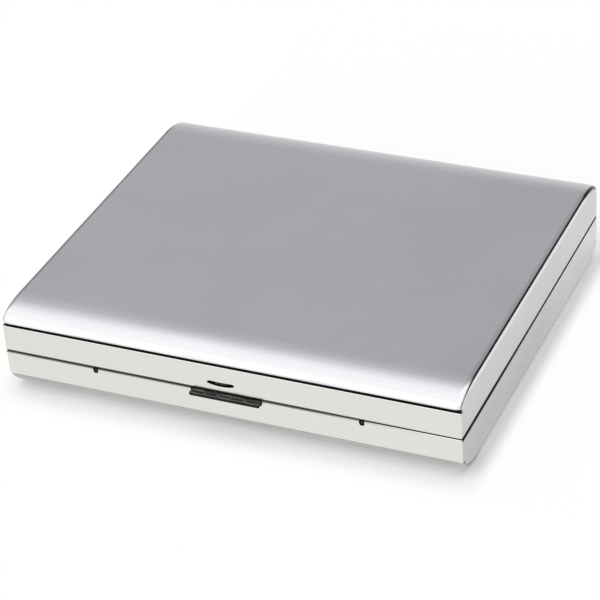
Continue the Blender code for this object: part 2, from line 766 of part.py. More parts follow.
def spring_points(side, x_centre):
    # One unbroken wire: back leg, closed turns round the pin, front leg bent down onto the arm
    start_x = x_centre - SPRING_TURNS * SPRING_PITCH / 2
    back_leg = web_front - FIT_GAP - SPRING_WIRE_RADIUS
    top = -SPRING_COIL_RADIUS
    points = [(start_x, back_leg, arm_pivot_height + top)]
    steps = SPRING_TURNS * COIL_STEPS
    for index in range(steps + 1):
        angle = -math.pi / 2 - 2 * math.pi * index / COIL_STEPS
        points.append((
            start_x + SPRING_PITCH * index / COIL_STEPS,
            arm_pivot_y + SPRING_COIL_RADIUS * math.cos(angle),
            arm_pivot_height + SPRING_COIL_RADIUS * math.sin(angle),
        ))
    end_x = start_x + SPRING_TURNS * SPRING_PITCH
    rest = arm_face_offset - FIT_GAP - SPRING_WIRE_RADIUS
    points.append((end_x, arm_pivot_y - SPRING_LEG_BEND, arm_pivot_height + top))
    points.append((end_x, arm_pivot_y - SPRING_FRONT_LEG, arm_pivot_height + rest))
    return [(x, y, level(side, height)) for x, y, height in points]


def least_gap(points):
    # Smallest space between turns of the wire, from points that lie at least half a turn apart
    spacing = COIL_STEPS // 2
    best = SPRING_FRONT_LEG
    for index, first in enumerate(points):
        for second in points[index + spacing:]:
            best = min(best, (Vector(first) - Vector(second)).length)
    return best - 2 * SPRING_WIRE_RADIUS


def make_arm_spring(side, name, x_centre, carrier, material):
    points = spring_points(side, x_centre)
    print(name, "least gap between turns in mm:", round(least_gap(points) * 1000, 3))
    curve = bpy.data.curves.new(name, "CURVE")
    curve.dimensions = "3D"
    curve.bevel_depth = SPRING_WIRE_RADIUS
    curve.bevel_resolution = 1
    curve.use_fill_caps = True
    line = curve.splines.new("POLY")
    line.points.add(len(points) - 1)
    place = Vector(carrier["place"])
    for knot, point in zip(line.points, points):
        knot.co = (*(Vector(point) - place), 1.0)
    spring = bpy.data.objects.new(name, curve)
    bpy.context.scene.collection.objects.link(spring)
    spring.parent = carrier
    curve.materials.append(material)
    return spring


def make_half(side, label, carrier, arm_carrier, materials):
    # Everything that both halves have; the arms stand to opposite sides of the middle
    arm_x = side * ARM_OFFSET
    frame = make_frame(side, label + "_frame", carrier, materials["frame"])
    make_cover(side, label + "_cover", carrier, materials["cover"])
    liner = make_liner(side, label + "_liner", carrier, materials["liner"])
    own_first = 1 if side == BASE else 0
    make_hinge_leaf(side, label + "_hinge_leaf", own_first, carrier, materials["hinge"])
    make_bracket(side, label + "_arm_bracket", arm_x, carrier, materials["bracket"])
    pin = (arm_pivot_y, arm_pivot_height)
    stop = (arm_pivot_y - STOP_SETBACK, arm_pivot_height + stop_offset)
    make_cross_pin(side, label + "_arm_pin", pin, ARM_PIN_RADIUS, arm_x, carrier, materials["pin"])
    make_cross_pin(side, label + "_stop_pin", stop, STOP_RADIUS, arm_x, carrier, materials["pin"])
    make_arm_spring(side, label + "_arm_spring", arm_x, carrier, materials["spring"])
    make_arm(side, label + "_arm", arm_x, arm_carrier, materials["arm"])
    return frame, liner


def half_materials(label):
    return {
        "frame": metal(label + "_polished_frame", (0.80, 0.80, 0.78), 0.12),
        "cover": metal(label + "_satin_cover", (0.62, 0.62, 0.64), 0.38),
        "liner": metal(label + "_bright_liner", (0.74, 0.73, 0.70), 0.25),
        "hinge": metal(label + "_hinge_steel", (0.66, 0.66, 0.65), 0.22),
        "bracket": metal(label + "_bracket_steel", (0.60, 0.60, 0.59), 0.30),
        "pin": metal(label + "_pin_steel", (0.55, 0.55, 0.54), 0.25),
        "spring": metal(label + "_spring_steel", (0.42, 0.42, 0.43), 0.30),
        "arm": metal(label + "_polished_arm", (0.76, 0.76, 0.74), 0.15),
    }


def main():
    clear_scene()
    base_axis = pivot("base_root", (0, 0, 0))
    lid_axis = pivot("lid_hinge_axis", (0, hinge_axis_y, HALF_HEIGHT))
    latch_axis = pivot("latch_slide_axis", (BAR_CENTRE, front_face, level(BASE, bar_top)))
    base_arm_axis = pivot("base_arm_axis", (BASE * ARM_OFFSET, arm_pivot_y, level(BASE, arm_pivot_height)))
    lid_arm_place = (LID * ARM_OFFSET, arm_pivot_y, level(LID, arm_pivot_height))
    lid_arm_axis = pivot("lid_arm_axis", lid_arm_place, lid_axis)

    base_frame, base_liner = make_half(BASE, "base", base_axis, base_arm_axis, half_materials("base"))
    lid_frame, lid_liner = make_half(LID, "lid", lid_axis, lid_arm_axis, half_materials("lid"))

    cut_catch_slot(lid_frame, lid_axis)
    cut_bar_notch(base_frame, base_axis)
    cut_rivet_notches(base_frame, (front_face - OVERRUN, front_wall_inner + FIT_GAP / 2), base_axis)
    rim_half = STRIP_LENGTH / 2 + RIM_OPENING_MARGIN
    open_front_rim(BASE, base_liner, -rim_half, rim_half, base_axis)
    tab_half = HOOK_TAB_WIDTH / 2 + RIM_OPENING_MARGIN
    open_front_rim(LID, lid_liner, CATCH_CENTRE - tab_half, CATCH_CENTRE + tab_half, lid_axis)

    make_hinge_pin(base_axis, metal("hinge_pin_steel", (0.55, 0.55, 0.54), 0.25))
    make_latch_bar(latch_axis, metal("dark_push_bar", (0.05, 0.05, 0.05), 0.30))
    make_latch_hook(latch_axis, metal("hook_steel", (0.35, 0.35, 0.35), 0.32))
    make_latch_spring(base_axis, metal("latch_spring_steel", (0.45, 0.45, 0.46), 0.28))
    make_rivets(base_axis, metal("rivet_steel", (0.20, 0.20, 0.19), 0.35))


main()
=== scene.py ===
# Flat metal cigarette case, shown closed on a pale floor
# Sizes are in millimetres until a mesh is made; X runs along the hinge, -Y is the latch side, Z is up
import contextlib
import functools
import math
import types

import bmesh
import bpy
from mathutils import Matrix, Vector


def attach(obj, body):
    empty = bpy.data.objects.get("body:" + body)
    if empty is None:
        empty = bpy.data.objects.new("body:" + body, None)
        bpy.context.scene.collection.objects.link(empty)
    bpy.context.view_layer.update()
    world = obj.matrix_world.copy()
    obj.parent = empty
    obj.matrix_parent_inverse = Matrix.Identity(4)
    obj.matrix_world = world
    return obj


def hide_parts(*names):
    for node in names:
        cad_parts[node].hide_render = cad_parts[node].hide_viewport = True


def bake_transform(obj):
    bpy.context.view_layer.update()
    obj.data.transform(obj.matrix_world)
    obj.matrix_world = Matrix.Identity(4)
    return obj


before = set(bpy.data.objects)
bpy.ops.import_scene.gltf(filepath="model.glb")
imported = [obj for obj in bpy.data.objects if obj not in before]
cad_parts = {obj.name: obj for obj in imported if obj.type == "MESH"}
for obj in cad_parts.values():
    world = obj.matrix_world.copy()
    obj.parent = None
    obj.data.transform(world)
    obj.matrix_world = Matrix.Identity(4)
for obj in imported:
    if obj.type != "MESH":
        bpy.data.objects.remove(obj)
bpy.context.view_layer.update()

mm = 0.001
lid = 1
base = -1
halfName = {lid: "lid", base: "base"}

case = {
    "width": 96.0,
    "depth": 82.2,
    "halfHeight": 9.25,
    "rollRun": 8.2,
    "partingGap": 0.30,
    "bandHeight": {lid: 5.72, base: 5.30},
    "groove": {lid: 0.70, base: 0.3},
    "rollSetback": {lid: 0.0, base: 0.4},
    "frameWall": 0.6,
    "coverSheet": 0.35,
    "linerSheet": 0.4,
    "hingeSheet": 0.35,
    "fitGap": 0.3,
    "flange": 1.8,
    "weld": 0.002,      # points closer than this become one
    "axisRadius": 0.01,     # smallest radius, where a turned profile closes on its axis
    "overrun": 1.0,     # how far a cut reaches past what it cuts
}

# Values and faces that the pieces share
fitGap = case["fitGap"]
overrun = case["overrun"]
halfWidth = case["width"] / 2
frontFace = -case["depth"] / 2
backFace = case["depth"] / 2
edgeHeight = case["partingGap"] / 2
frontWallInner = frontFace + case["frameWall"]
backWallInner = backFace - case["frameWall"]
sideWallInner = halfWidth - case["frameWall"]
rollFront = frontFace + case["rollRun"]
leafOuter = backWallInner - fitGap
leafInner = leafOuter - case["hingeSheet"]


def level(side, height):
    return case["halfHeight"] + side * height    # world height of a height above or below the parting plane


def heightSpan(side, low, high):
    return sorted((level(side, low), level(side, high)))


def bandTop(side):
    return edgeHeight + case["bandHeight"][side]


def coverLow(side):
    return bandTop(side) + case["groove"][side]


# Mesh making

def newObject(name, mesh):
    made = bpy.data.objects.new(name, mesh)
    bpy.context.scene.collection.objects.link(made)
    return made


@contextlib.contextmanager
def editing(mesh):
    # Opens a mesh and writes the changes back
    shape = bmesh.new()
    shape.from_mesh(mesh)
    yield shape
    shape.to_mesh(mesh)
    shape.free()


def meshObject(name, points, faces):
    mesh = bpy.data.meshes.new(name)
    mesh.from_pydata([(x * mm, y * mm, z * mm) for x, y, z in points], [], faces)
    with editing(mesh) as shape:
        bmesh.ops.remove_doubles(shape, verts=shape.verts, dist=case["weld"] * mm)
        bmesh.ops.recalc_face_normals(shape, faces=shape.faces)
    return newObject(name, mesh)


def loftLoops(name, loops, capped=True):
    # Closed loops with the same number of points, joined one to the next
    count = len(loops[0])
    points = [point for loop in loops for point in loop]
    faces = []
    for row in range(len(loops) - 1):
        for column in range(count):
            ahead = (column + 1) % count
            first = row * count
            second = first + count
            faces.append((first + column, first + ahead, second + ahead, second + column))
    if capped:
        faces.append(tuple(range(count)))
        faces.append(tuple(range(len(points) - count, len(points))))
    return meshObject(name, points, faces)


def prism(name, axis, outline, low, high):
    # Outline extruded along an axis: (y, z) along X or (x, z) along Y
    order = {"X": (2, 0, 1), "Y": (0, 2, 1)}[axis]
    loops = []
    for reach in (low, high):
        loops.append([tuple((first, second, reach)[index] for index in order) for first, second in outline])
    return loftLoops(name, loops)


def block(name, xSpan, ySpan, zSpan):
    outline = [(ySpan[0], zSpan[0]), (ySpan[1], zSpan[0]), (ySpan[1], zSpan[1]), (ySpan[0], zSpan[1])]
    return prism(name, "X", outline, xSpan[0], xSpan[1])


def turned(name, axis, profile, centre, steps=32):
    # Profile of (radius, place along the axis), turned about a line along X or Y through the centre
    loops = []
    for radius, along in profile:
        loop = []
        for index in range(steps):
            angle = 2 * math.pi * index / steps
            first = centre[0] + radius * math.cos(angle)
            second = centre[1] + radius * math.sin(angle)
            loop.append((along, first, second) if axis == "X" else (first, along, second))
        loops.append(loop)
    return loftLoops(name, loops)


def ribbon(name, rows, thickness, present=None):
    # Sheet drawn as rows of points across it, then thickened; present says which cells of the grid there are
    columns = len(rows[0])
    points = [point for row in rows for point in row]
    faces = []
    for row in range(len(rows) - 1):
        for column in range(columns - 1):
            if present is None or present(row, column):
                corner = row * columns + column
                faces.append((corner, corner + 1, corner + columns + 1, corner + columns))
    sheet = meshObject(name, points, faces)
    with editing(sheet.data) as shape:
        bmesh.ops.delete(shape, geom=[vert for vert in shape.verts if not vert.link_faces], context="VERTS")
    return thicken(sheet, thickness)


def finalMesh(piece):
    graph = bpy.context.evaluated_depsgraph_get()
    return bpy.data.meshes.new_from_object(piece.evaluated_get(graph))


def settle(piece):
    # Writes the modifiers into the mesh
    mesh = finalMesh(piece)
    piece.modifiers.clear()
    piece.data = mesh
    return piece


def thicken(sheet, thickness):
    # Half of the thickness goes to either side of the drawn sheet
    change = sheet.modifiers.new("thickness", "SOLIDIFY")
    change.thickness = thickness * mm
    change.offset = 0
    change.use_even_offset = True
    return settle(sheet)


def combine(target, tool, operation="DIFFERENCE"):
    change = target.modifiers.new(tool.name, "BOOLEAN")
    change.operation = operation
    change.solver = "EXACT"
    change.object = tool
    settle(target)
    bpy.data.objects.remove(tool)


def soften(piece, width, segments=3, angle=35):
    change = piece.modifiers.new("softEdges", "BEVEL")
    change.width = width * mm
    change.segments = segments
    change.limit_method = "ANGLE"
    change.angle_limit = math.radians(angle)


def join(target, other):
    with editing(target.data) as shape:
        shape.from_mesh(other.data)
    bpy.data.objects.remove(other)


def dress(piece, finish, body, slotName, *nodes, sharp=38, bends=None):
    # Smooth shading, finish, body and the CAD nodes that the piece stands for, which are hidden; with bends, the piece
    # is only baked in place and joins no body
    settle(piece)
    piece.data.materials.clear()
    piece.data.materials.append(finishes[finish])
    piece.data.shade_smooth()
    piece.data.set_sharp_from_angle(angle=math.radians(sharp))
    flatter = piece.modifiers.new("flatFaces", "WEIGHTED_NORMAL")
    flatter.keep_sharp = True
    if bends:
        other, start, end = bends
        [value * mm for value in start]
        [value * mm for value in end]
        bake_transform(piece)
    else:
        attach(piece, body)
    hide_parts(*nodes)


def arc(centre, radius, start, end, steps):
    # Points of an arc; angles in degrees
    points = []
    for index in range(steps + 1):
        angle = math.radians(start + (end - start) * index / steps)
        points.append((centre[0] + radius * math.cos(angle), centre[1] + radius * math.sin(angle)))
    return points


def circle(centre, radius, count):
    return arc(centre, radius, 0, 360 - 360 / count, count - 1)


def quarterTurn(steps):
    return [math.pi / 2 * index / steps for index in range(steps + 1)]


def laid(side, outline):
    return [(across, level(side, height)) for across, height in outline]


def rollPoints(side, depth, steps):
    # Rolls and flat of a half at a depth under the cover: (place, normal) of each point, front to back
    run = case["rollRun"] - case["rollSetback"][side]
    rise = case["halfHeight"] - coverLow(side)
    points = []
    for turn in quarterTurn(steps):
        angle = math.atan2(rise * math.sin(turn), run * math.cos(turn))
        normal = (-math.cos(turn), math.sin(turn))
        across = rollFront - run * math.cos(angle) - normal[0] * depth
        height = coverLow(side) + rise * math.sin(angle) - normal[1] * depth
        points.append(((across, height), normal))
    back = [((-across, height), (-normal[0], normal[1])) for (across, height), normal in reversed(points)]
    return points + back


# Finishes

def wiring(owner):
    # Ways to add nodes to a material or a world; inputs are numbers, colours or the outputs of other nodes
    owner.use_nodes = True
    tree = owner.node_tree

    def feed(target, inputs):
        for name, value in inputs.items():
            socket = target.inputs[name]
            if isinstance(value, bpy.types.NodeSocket):
                tree.links.new(value, socket)
            else:
                socket.default_value = (*value, 1.0) if socket.type == "RGBA" else value

    def add(kind, inputs, **settings):
        made = tree.nodes.new(kind)
        for name, value in settings.items():
            setattr(made, name, value)
        feed(made, inputs)
        return made

    def maths(operation, *values):
        return add("ShaderNodeMath", dict(enumerate(values)), operation=operation).outputs["Value"]

    def product(values):
        return functools.reduce(lambda first, second: maths("MULTIPLY", first, second), values)

    def ramp(value, span=(0.0, 1.0), levels=(0.0, 1.0)):
        # From the first level to the second while the value goes from the span's start to its end
        (low, lowLevel), (high, highLevel) = sorted(zip(span, levels))
        inputs = {"Value": value, "From Min": low, "From Max": high, "To Min": lowLevel, "To Max": highLevel}
        return add("ShaderNodeMapRange", inputs, interpolation_type="SMOOTHSTEP").outputs["Result"]

    def mix(share, first, second):
        # 6, 7 and 2 are the node's colour inputs and its colour output
        return add("ShaderNodeMix", {"Factor": share, 6: first, 7: second}, data_type="RGBA").outputs[2]

    def coordinates(kind):
        place = add("ShaderNodeTexCoord", {}).outputs[kind]
        split = add("ShaderNodeSeparateXYZ", {0: place})
        return place, {axis: split.outputs[axis] for axis in "XYZ"}

    return types.SimpleNamespace(
        nodes=tree.nodes, feed=feed, add=add, maths=maths, product=product, ramp=ramp, mix=mix, coordinates=coordinates,
    )


plainMetal = {
    "metallic": 1.0, "specular": 0.5, "zones": (),
    "grainScale": 1.0, "grainDetail": 3.0, "grainSpan": (0.3, 0.7), "grainMix": 0.5, "grainRough": 0.05,
    "grainShade": 0.08, "cloudScale": 200.0, "cloudDetail": 4.0, "cloudSpan": (0.35, 0.7), "cloudShade": 0.05,
    "cloudRoughSpan": (0.3, 0.7), "streakSpan": (0.35, 0.65),
    "scratchDetail": 2.0, "scratchSpan": (0.66, 0.72), "scratchRough": 0.06, "scratchDepth": 0.5,
    "bump": 0.12, "bumpDepth": 0.015,
}


def metalFinish(name, look):
    # Metal with grain, cloudy tarnish and fine scratches in colour, roughness and height; zones are duller or glossier,
    # and their colours are painted highlights and painted shade
    look = {**plainMetal, **look}
    material = bpy.data.materials.new(name)
    wires = wiring(material)
    maths, ramp, mix = wires.maths, wires.ramp, wires.mix
    place, axes = wires.coordinates("Object")

    def noise(stretch, scale, detail):
        spread = wires.add("ShaderNodeMapping", {"Vector": place, "Scale": stretch}).outputs["Vector"]
        return wires.add("ShaderNodeTexNoise", {"Vector": spread, "Scale": scale, "Detail": detail}).outputs["Fac"]

    def zoneShare(zone):
        # 1 within the zone and 0 elsewhere
        shares = []
        for axis, (middle, reach, *edge) in zone["bounds"].items():
            away = maths("ABSOLUTE", maths("SUBTRACT", axes[axis], middle * mm))
            within = (0.0, 1.0) if axis in zone["outside"] else (1.0, 0.0)
            shares.append(ramp(away, (reach * mm, (reach + (edge[0] if edge else zone["edge"])) * mm), within))
        return wires.product(shares)

    def darker(colour, share):
        return tuple(value * (1 - share) for value in colour)

    grain = noise(look["grainStretch"], look["grainScale"], look["grainDetail"])
    cloud = noise((1, 1, 1), look["cloudScale"], look["cloudDetail"])
    scratch = ramp(noise(look["scratchStretch"], 1.0, look["scratchDetail"]), look["scratchSpan"])
    streaks = ramp(grain, look["streakSpan"])

    colour = look["colour"]
    toned = mix(ramp(cloud, look["cloudSpan"]), darker(colour, look["cloudShade"]), colour)
    grainShare = ramp(grain, look["grainSpan"], (0.0, look["grainMix"]))
    brushedAndPaintedLight = mix(grainShare, toned, darker(colour, look["grainShade"]))
    rough = ramp(cloud, look["cloudRoughSpan"], look["roughness"])
    rough = maths("ADD", rough, ramp(grain, look["grainSpan"], (0.0, look["grainRough"])))
    rough = maths("ADD", rough, ramp(scratch, levels=(0.0, look["scratchRough"])))
    # Zone colours: painted highlights and painted shade laid over the grained colour
    for zone in look["zones"]:
        share = zoneShare(zone)
        if zone["colour"]:
            brushedAndPaintedLight = mix(share, brushedAndPaintedLight, mix(streaks, zone["colour"], darker(zone["colour"], zone["streak"])))
        rough = maths("MULTIPLY", rough, maths("MULTIPLY_ADD", share, -zone["gloss"], 1.0))
    height = maths("ADD", ramp(grain), ramp(scratch, levels=(0.0, -look["scratchDepth"])))
    bump = wires.add("ShaderNodeBump", {"Strength": look["bump"], "Distance": look["bumpDepth"] * mm, "Height": height})
    wires.feed(wires.nodes["Principled BSDF"], {
        "Base Color": brushedAndPaintedLight, "Roughness": rough, "Metallic": look["metallic"],
        "Specular IOR Level": look["specular"], "Normal": bump.outputs["Normal"],
    })
    return material


def zone(bounds, edge, colour=None, gloss=0.0, streak=0.2, outside=""):
    # Where the surface lies within every bound, (middle, reach, own edge) along an axis, or beyond the bound along an
    # axis that outside names; its edge is soft
    return {"bounds": bounds, "edge": edge, "colour": colour, "gloss": gloss, "streak": streak, "outside": outside}


def endWall(colour, bounds, edge=0.1, gloss=0.0):
    return zone({"X": (0, 47.86), **bounds}, edge, colour, gloss, 0.03, "X")


looks = {
    "satinCover": {
        "colour": (0.64, 0.643, 0.668), "roughness": (0.26, 0.29), "grainStretch": (60, 3000, 3000), "grainShade": 0.06,
        "cloudScale": 45.0, "cloudShade": 0.02, "scratchStretch": (120, 900, 900), "scratchRough": 0.01,
        "scratchDepth": 0.02, "bump": 0.04, "bumpDepth": 0.01,
        "zones": (
            # Rolls, hems inside, turned-down ends, their edges and corners, and a band on the base; lighter colours
            # here are painted highlights and darker ones painted shade
            # Rolls lighter near the crease: a painted highlight
            zone({"Y": (0, 40.1)}, 0.5, (0.82, 0.825, 0.84), outside="Y"),
            # Hems nearly black and rougher: painted shade in the crease
            zone({"Y": (0, 40.3), "Z": (9.25, 6.8)}, 0.05, (0.15, 0.15, 0.15), -0.6),
            zone({"X": (0, 46.7)}, 0.5, gloss=0.5, outside="X"),
            # Turned-down edges lighter and rougher: a painted highlight
            zone({"X": (0, 47.9)}, 0.06, (0.86, 0.86, 0.87), -0.5, 0.1, "X"),
            # Lid's turned edge near the back corner nearly black: painted shade
            zone({"X": (0, 47.35), "Y": (39, 5, 2), "Z": (16, 4)}, 0.2, (0.16, 0.16, 0.16), -0.3, outside="X"),
            # Base's turned edge darker at the front corner: painted shade
            zone({"X": (0, 47.6), "Y": (-40, 5, 4), "Z": (2, 3)}, 0.15, (0.45, 0.45, 0.445), -0.3, outside="X"),
            # Base's lower roll darker: painted shade, blending it into the floor's shadow
            zone({"Z": (2.9, 0.6)}, 0.2, (0.55, 0.55, 0.53), -0.3, 0.1),
        ),
    },
    "polishedFrame": {
        "colour": (0.764, 0.773, 0.728), "roughness": (0.14, 0.18), "grainStretch": (200, 2500, 2500),
        "grainShade": 0.03, "grainRough": 0.03, "cloudScale": 60.0, "cloudShade": 0.03,
        "scratchStretch": (150, 1400, 1400), "scratchDepth": 0.4, "bump": 0.06, "bumpDepth": 0.01,
        "zones": (
            # End walls: all, the base's, towards the back, under the lid's edge; then inner faces, rims and side seam.
            # Lighter colours here are painted highlights and darker ones painted shade
            # End walls darker than the bands: painted shade, on a rougher finish
            endWall((0.59, 0.592, 0.592), {}, gloss=-0.5),
            # Base's end walls darker still: painted shade from the floor's shadow
            endWall((0.552, 0.555, 0.55), {"Z": (4.5, 4.7)}),
            # Base's end walls lighter towards the back: painted light
            endWall((0.65, 0.65, 0.65), {"Y": (60, 35, 25), "Z": (4.5, 4.7)}),
            # Light line along the top of the lid's end walls: a painted highlight
            endWall((0.86, 0.87, 0.86), {"Z": (17.6, 0.3)}, edge=0.12),
            # Inner faces nearly black and much rougher: painted shade in the crease and inside the frame
            zone({"X": (0, 47.82), "Y": (0, 40.93)}, 0.04, (0.10, 0.10, 0.10), -1.2),
            # Parting rims darker, fading out towards the right end: painted shade in the parting gap
            zone({"Z": (9.25, 0.36, 0.05), "X": (-48, 60)}, 38, (0.20, 0.20, 0.19), -1.0),
            # Seam on the right end wall nearly black, fading towards the back: painted shade
            zone({"X": (48, 0.1, 0.05), "Y": (-44, 16), "Z": (9.25, 0.55, 0.06)}, 40, (0.12, 0.12, 0.11), -1.0),
        ),
    },
    "brightLiner": {
        "colour": (0.74, 0.73, 0.70), "roughness": (0.20, 0.27), "grainStretch": (300, 300, 300), "grainScale": 4.0,
        "grainShade": 0.04, "grainRough": 0.04, "cloudScale": 50.0, "cloudShade": 0.06,
        "scratchStretch": (200, 1500, 400), "scratchRough": 0.08, "bump": 0.10, "bumpDepth": 0.02,
    },
    "hingeSteel": {
        "colour": (0.66, 0.66, 0.65), "roughness": (0.20, 0.26), "grainStretch": (300, 2600, 2600), "grainShade": 0.06,
        "cloudScale": 120.0, "scratchStretch": (1500, 200, 200), "bump": 0.10,
    },
    "pinSteel": {
        "colour": (0.55, 0.55, 0.54), "roughness": (0.22, 0.30), "grainStretch": (200, 3500, 3500), "grainRough": 0.06,
        "scratchStretch": (300, 4000, 4000), "bumpDepth": 0.01,
    },
    "darkPushBar": {
        "colour": (0.014, 0.013, 0.012), "roughness": (0.34, 0.42), "metallic": 0.35, "specular": 0.15,
        "grainStretch": (400, 3000, 3000), "grainShade": 0.20, "grainRough": 0.08, "cloudScale": 300.0,
        "cloudShade": 0.15, "scratchStretch": (500, 3500, 3500), "scratchRough": 0.10, "bump": 0.15,
        # Top face and flutes lighter and streaked: a painted highlight on the black bar
        "zones": (zone({"Z": (9.25, 0.42)}, 0.12, (0.16, 0.153, 0.145), streak=0.7),),
    },
    "hookSteel": {
        # Nearly black: painted shade for the nose seen in the dark slot
        "colour": (0.06, 0.06, 0.058), "roughness": (0.34, 0.42), "specular": 0.2, "grainStretch": (2500, 400, 400),
        "grainShade": 0.12, "grainRough": 0.06, "cloudShade": 0.10,
        "scratchStretch": (3000, 400, 400), "scratchRough": 0.08,
    },
    "springSteel": {
        "colour": (0.44, 0.44, 0.46), "roughness": (0.24, 0.30), "grainStretch": (250, 3000, 3000), "grainShade": 0.10,
        "cloudScale": 180.0, "cloudShade": 0.12, "scratchStretch": (300, 3500, 3500), "scratchDepth": 0.4,
        "bumpDepth": 0.01,
    },
    "rivetSteel": {
        # Nearly black: painted shade of the notches that the rivet tips sit in
        "colour": (0.05, 0.05, 0.047), "roughness": (0.36, 0.46), "specular": 0.2, "grainStretch": (2500, 2500, 2500),
        "grainShade": 0.20, "grainRough": 0.08, "cloudScale": 900.0, "cloudShade": 0.20,
        "scratchStretch": (3500, 3500, 800), "scratchRough": 0.10, "bump": 0.20, "bumpDepth": 0.02,
    },
    "polishedArm": {
        "colour": (0.76, 0.76, 0.74), "roughness": (0.15, 0.20), "grainStretch": (2500, 200, 200), "grainShade": 0.04,
        "grainRough": 0.03, "cloudScale": 90.0, "cloudShade": 0.04, "scratchStretch": (1500, 150, 400),
        "bump": 0.08, "bumpDepth": 0.01,
    },
    "bracketSteel": {
        "colour": (0.60, 0.60, 0.59), "roughness": (0.24, 0.32), "grainStretch": (2500, 400, 400), "cloudShade": 0.08,
        "scratchStretch": (2500, 300, 500),
    },
}
finishes = {name: metalFinish(name, look) for name, look in looks.items()}
print("finishes:", len(finishes))


# Covers: satin sheet rolled at front and back, its ends turned down over the end walls

cover = {
    "rollSteps": 40,
    "endRounding": (1.2, 0.5),       # across and down, where the sheet turns down over an end wall
    "endSteps": 12,
    "endDepth": 0.74,        # how far the turned edge reaches down
    "endThickness": 0.5,
    "lipSoftness": 0.16,
    "lipLap": 0.03,     # how far the hem's lip overlaps the sheet of the roll
    "cornerRadius": {lid: 0.6, base: 0.2},       # rounding of the sheet's lower corners
}


def makeCover(side):
    name = halfName[side]
    sheet = case["coverSheet"]
    across, down = cover["endRounding"]
    rounding = [
        (halfWidth - across * (1 - x), down * (1 + y)) for x, y in arc((0, 0), 1, -90, 0, cover["endSteps"])
    ]
    innerEnd = halfWidth - cover["endThickness"]
    right = rounding + [(halfWidth, cover["endDepth"]), (innerEnd, cover["endDepth"]), (innerEnd - sheet, sheet)]
    loop = right + [(-x, depth) for x, depth in reversed(right)]
    loops = []
    line = rollPoints(side, 0, cover["rollSteps"])
    short = cover["cornerRadius"][side]
    for (across, height), normal in line:
        near = min(math.dist((abs(across), height), (abs(line[0][0][0]), line[0][0][1])), short)
        pull = short - math.sqrt(short ** 2 - (short - near) ** 2)
        fit = 1 - pull / halfWidth
        loops.append([
            (x * fit, across - normal[0] * depth, level(side, height - normal[1] * depth)) for x, depth in loop
        ])
    shell = loftLoops(name + "Cover", loops)
    soften(shell, cover["lipSoftness"], angle=50)
    settle(shell)
    # Folded hem that tucks inside the frame at the front and the back
    reach = sideWallInner - fitGap
    seat = coverLow(side)
    low = seat - case["flange"]
    lip = frontFace + case["rollSetback"][side] + sheet - cover["lipLap"]
    for hand, edge in ((1, frontWallInner + fitGap), (-1, -(backWallInner - fitGap))):
        outline = [
            (edge, low), (edge, seat), (lip, seat), (lip, seat + sheet), (edge + sheet, seat + sheet),
            (edge + sheet, low),
        ]
        outline = laid(side, [(hand * across, height) for across, height in outline])
        join(shell, prism("hem", "X", outline, -reach, reach))
    dress(shell, "satinCover", name, "satin_cover", name + "_cover")


for side in (lid, base):
    makeCover(side)
print("covers made")


# Frames: polished bands with end walls that carry the covers' ends

frameLook = {
    "cornerRadius": 0.4,
    "cornerSteps": 6,
    "edgeSoftness": 0.16,
    "crownSteps": 24,
    "crownDrop": 0.12,      # how far the end walls' tops stand under the fitted height
    "endRelief": 0.18,      # how far the end walls' rims stand back from the parting plane
}
hinge = {
    "length": 70.0,
    "knuckles": 5,
    "knuckleGap": 0.3,
    "barrelRadius": 1.1,
    "leafSoftness": 0.07,
    "axisProud": 0.1,
    "pinRadius": 0.55,
    "pinDome": 0.25,
    "reliefSteps": 60,
    "bendHeight": 1.9,
    "eyeEnd": 478.0,        # degrees at which the rolled sheet ends
    "eyeSteps": 40,
}
hingeY = backFace + hinge["axisProud"]
reliefRadius = hinge["barrelRadius"] + fitGap


def frameOutline(side):
    depth = case["coverSheet"] + fitGap + frameLook["crownDrop"]
    crown = [place for place, normal in rollPoints(side, depth, frameLook["crownSteps"])]
    ledge = bandTop(side)
    front = [(frontFace, edgeHeight), (frontFace, ledge), (crown[0][0], ledge)]
    back = [(crown[-1][0], ledge), (backFace, ledge), (backFace, edgeHeight)]
    return front + crown + back


def makeFrame(side):
    name = halfName[side]
    shell = prism(name + "Frame", "X", laid(side, frameOutline(side)), -halfWidth, halfWidth)
    tall = case["bandHeight"][side] / 2 * mm
    with editing(shell.data) as shape:
        uprights = []
        for edge in shape.edges:
            span = edge.verts[0].co - edge.verts[1].co
            if abs(span.z) > tall and span.xy.length < frameLook["edgeSoftness"] * mm:
                uprights.append(edge)
        bmesh.ops.bevel(
            shape, geom=uprights, offset=frameLook["cornerRadius"] * mm, segments=frameLook["cornerSteps"],
            profile=0.5, affect="EDGES",
        )
    soften(shell, frameLook["edgeSoftness"], angle=40)
    settle(shell)
    span = heightSpan(side, -overrun, case["halfHeight"] + overrun)
    combine(shell, block("hollow", (-sideWallInner, sideWallInner), (frontWallInner, backWallInner), span))
    reach = hinge["length"] / 2 + fitGap
    relief = circle((hingeY, case["halfHeight"]), reliefRadius, hinge["reliefSteps"])
    combine(shell, prism("relief", "X", relief, -reach, reach))
    return shell


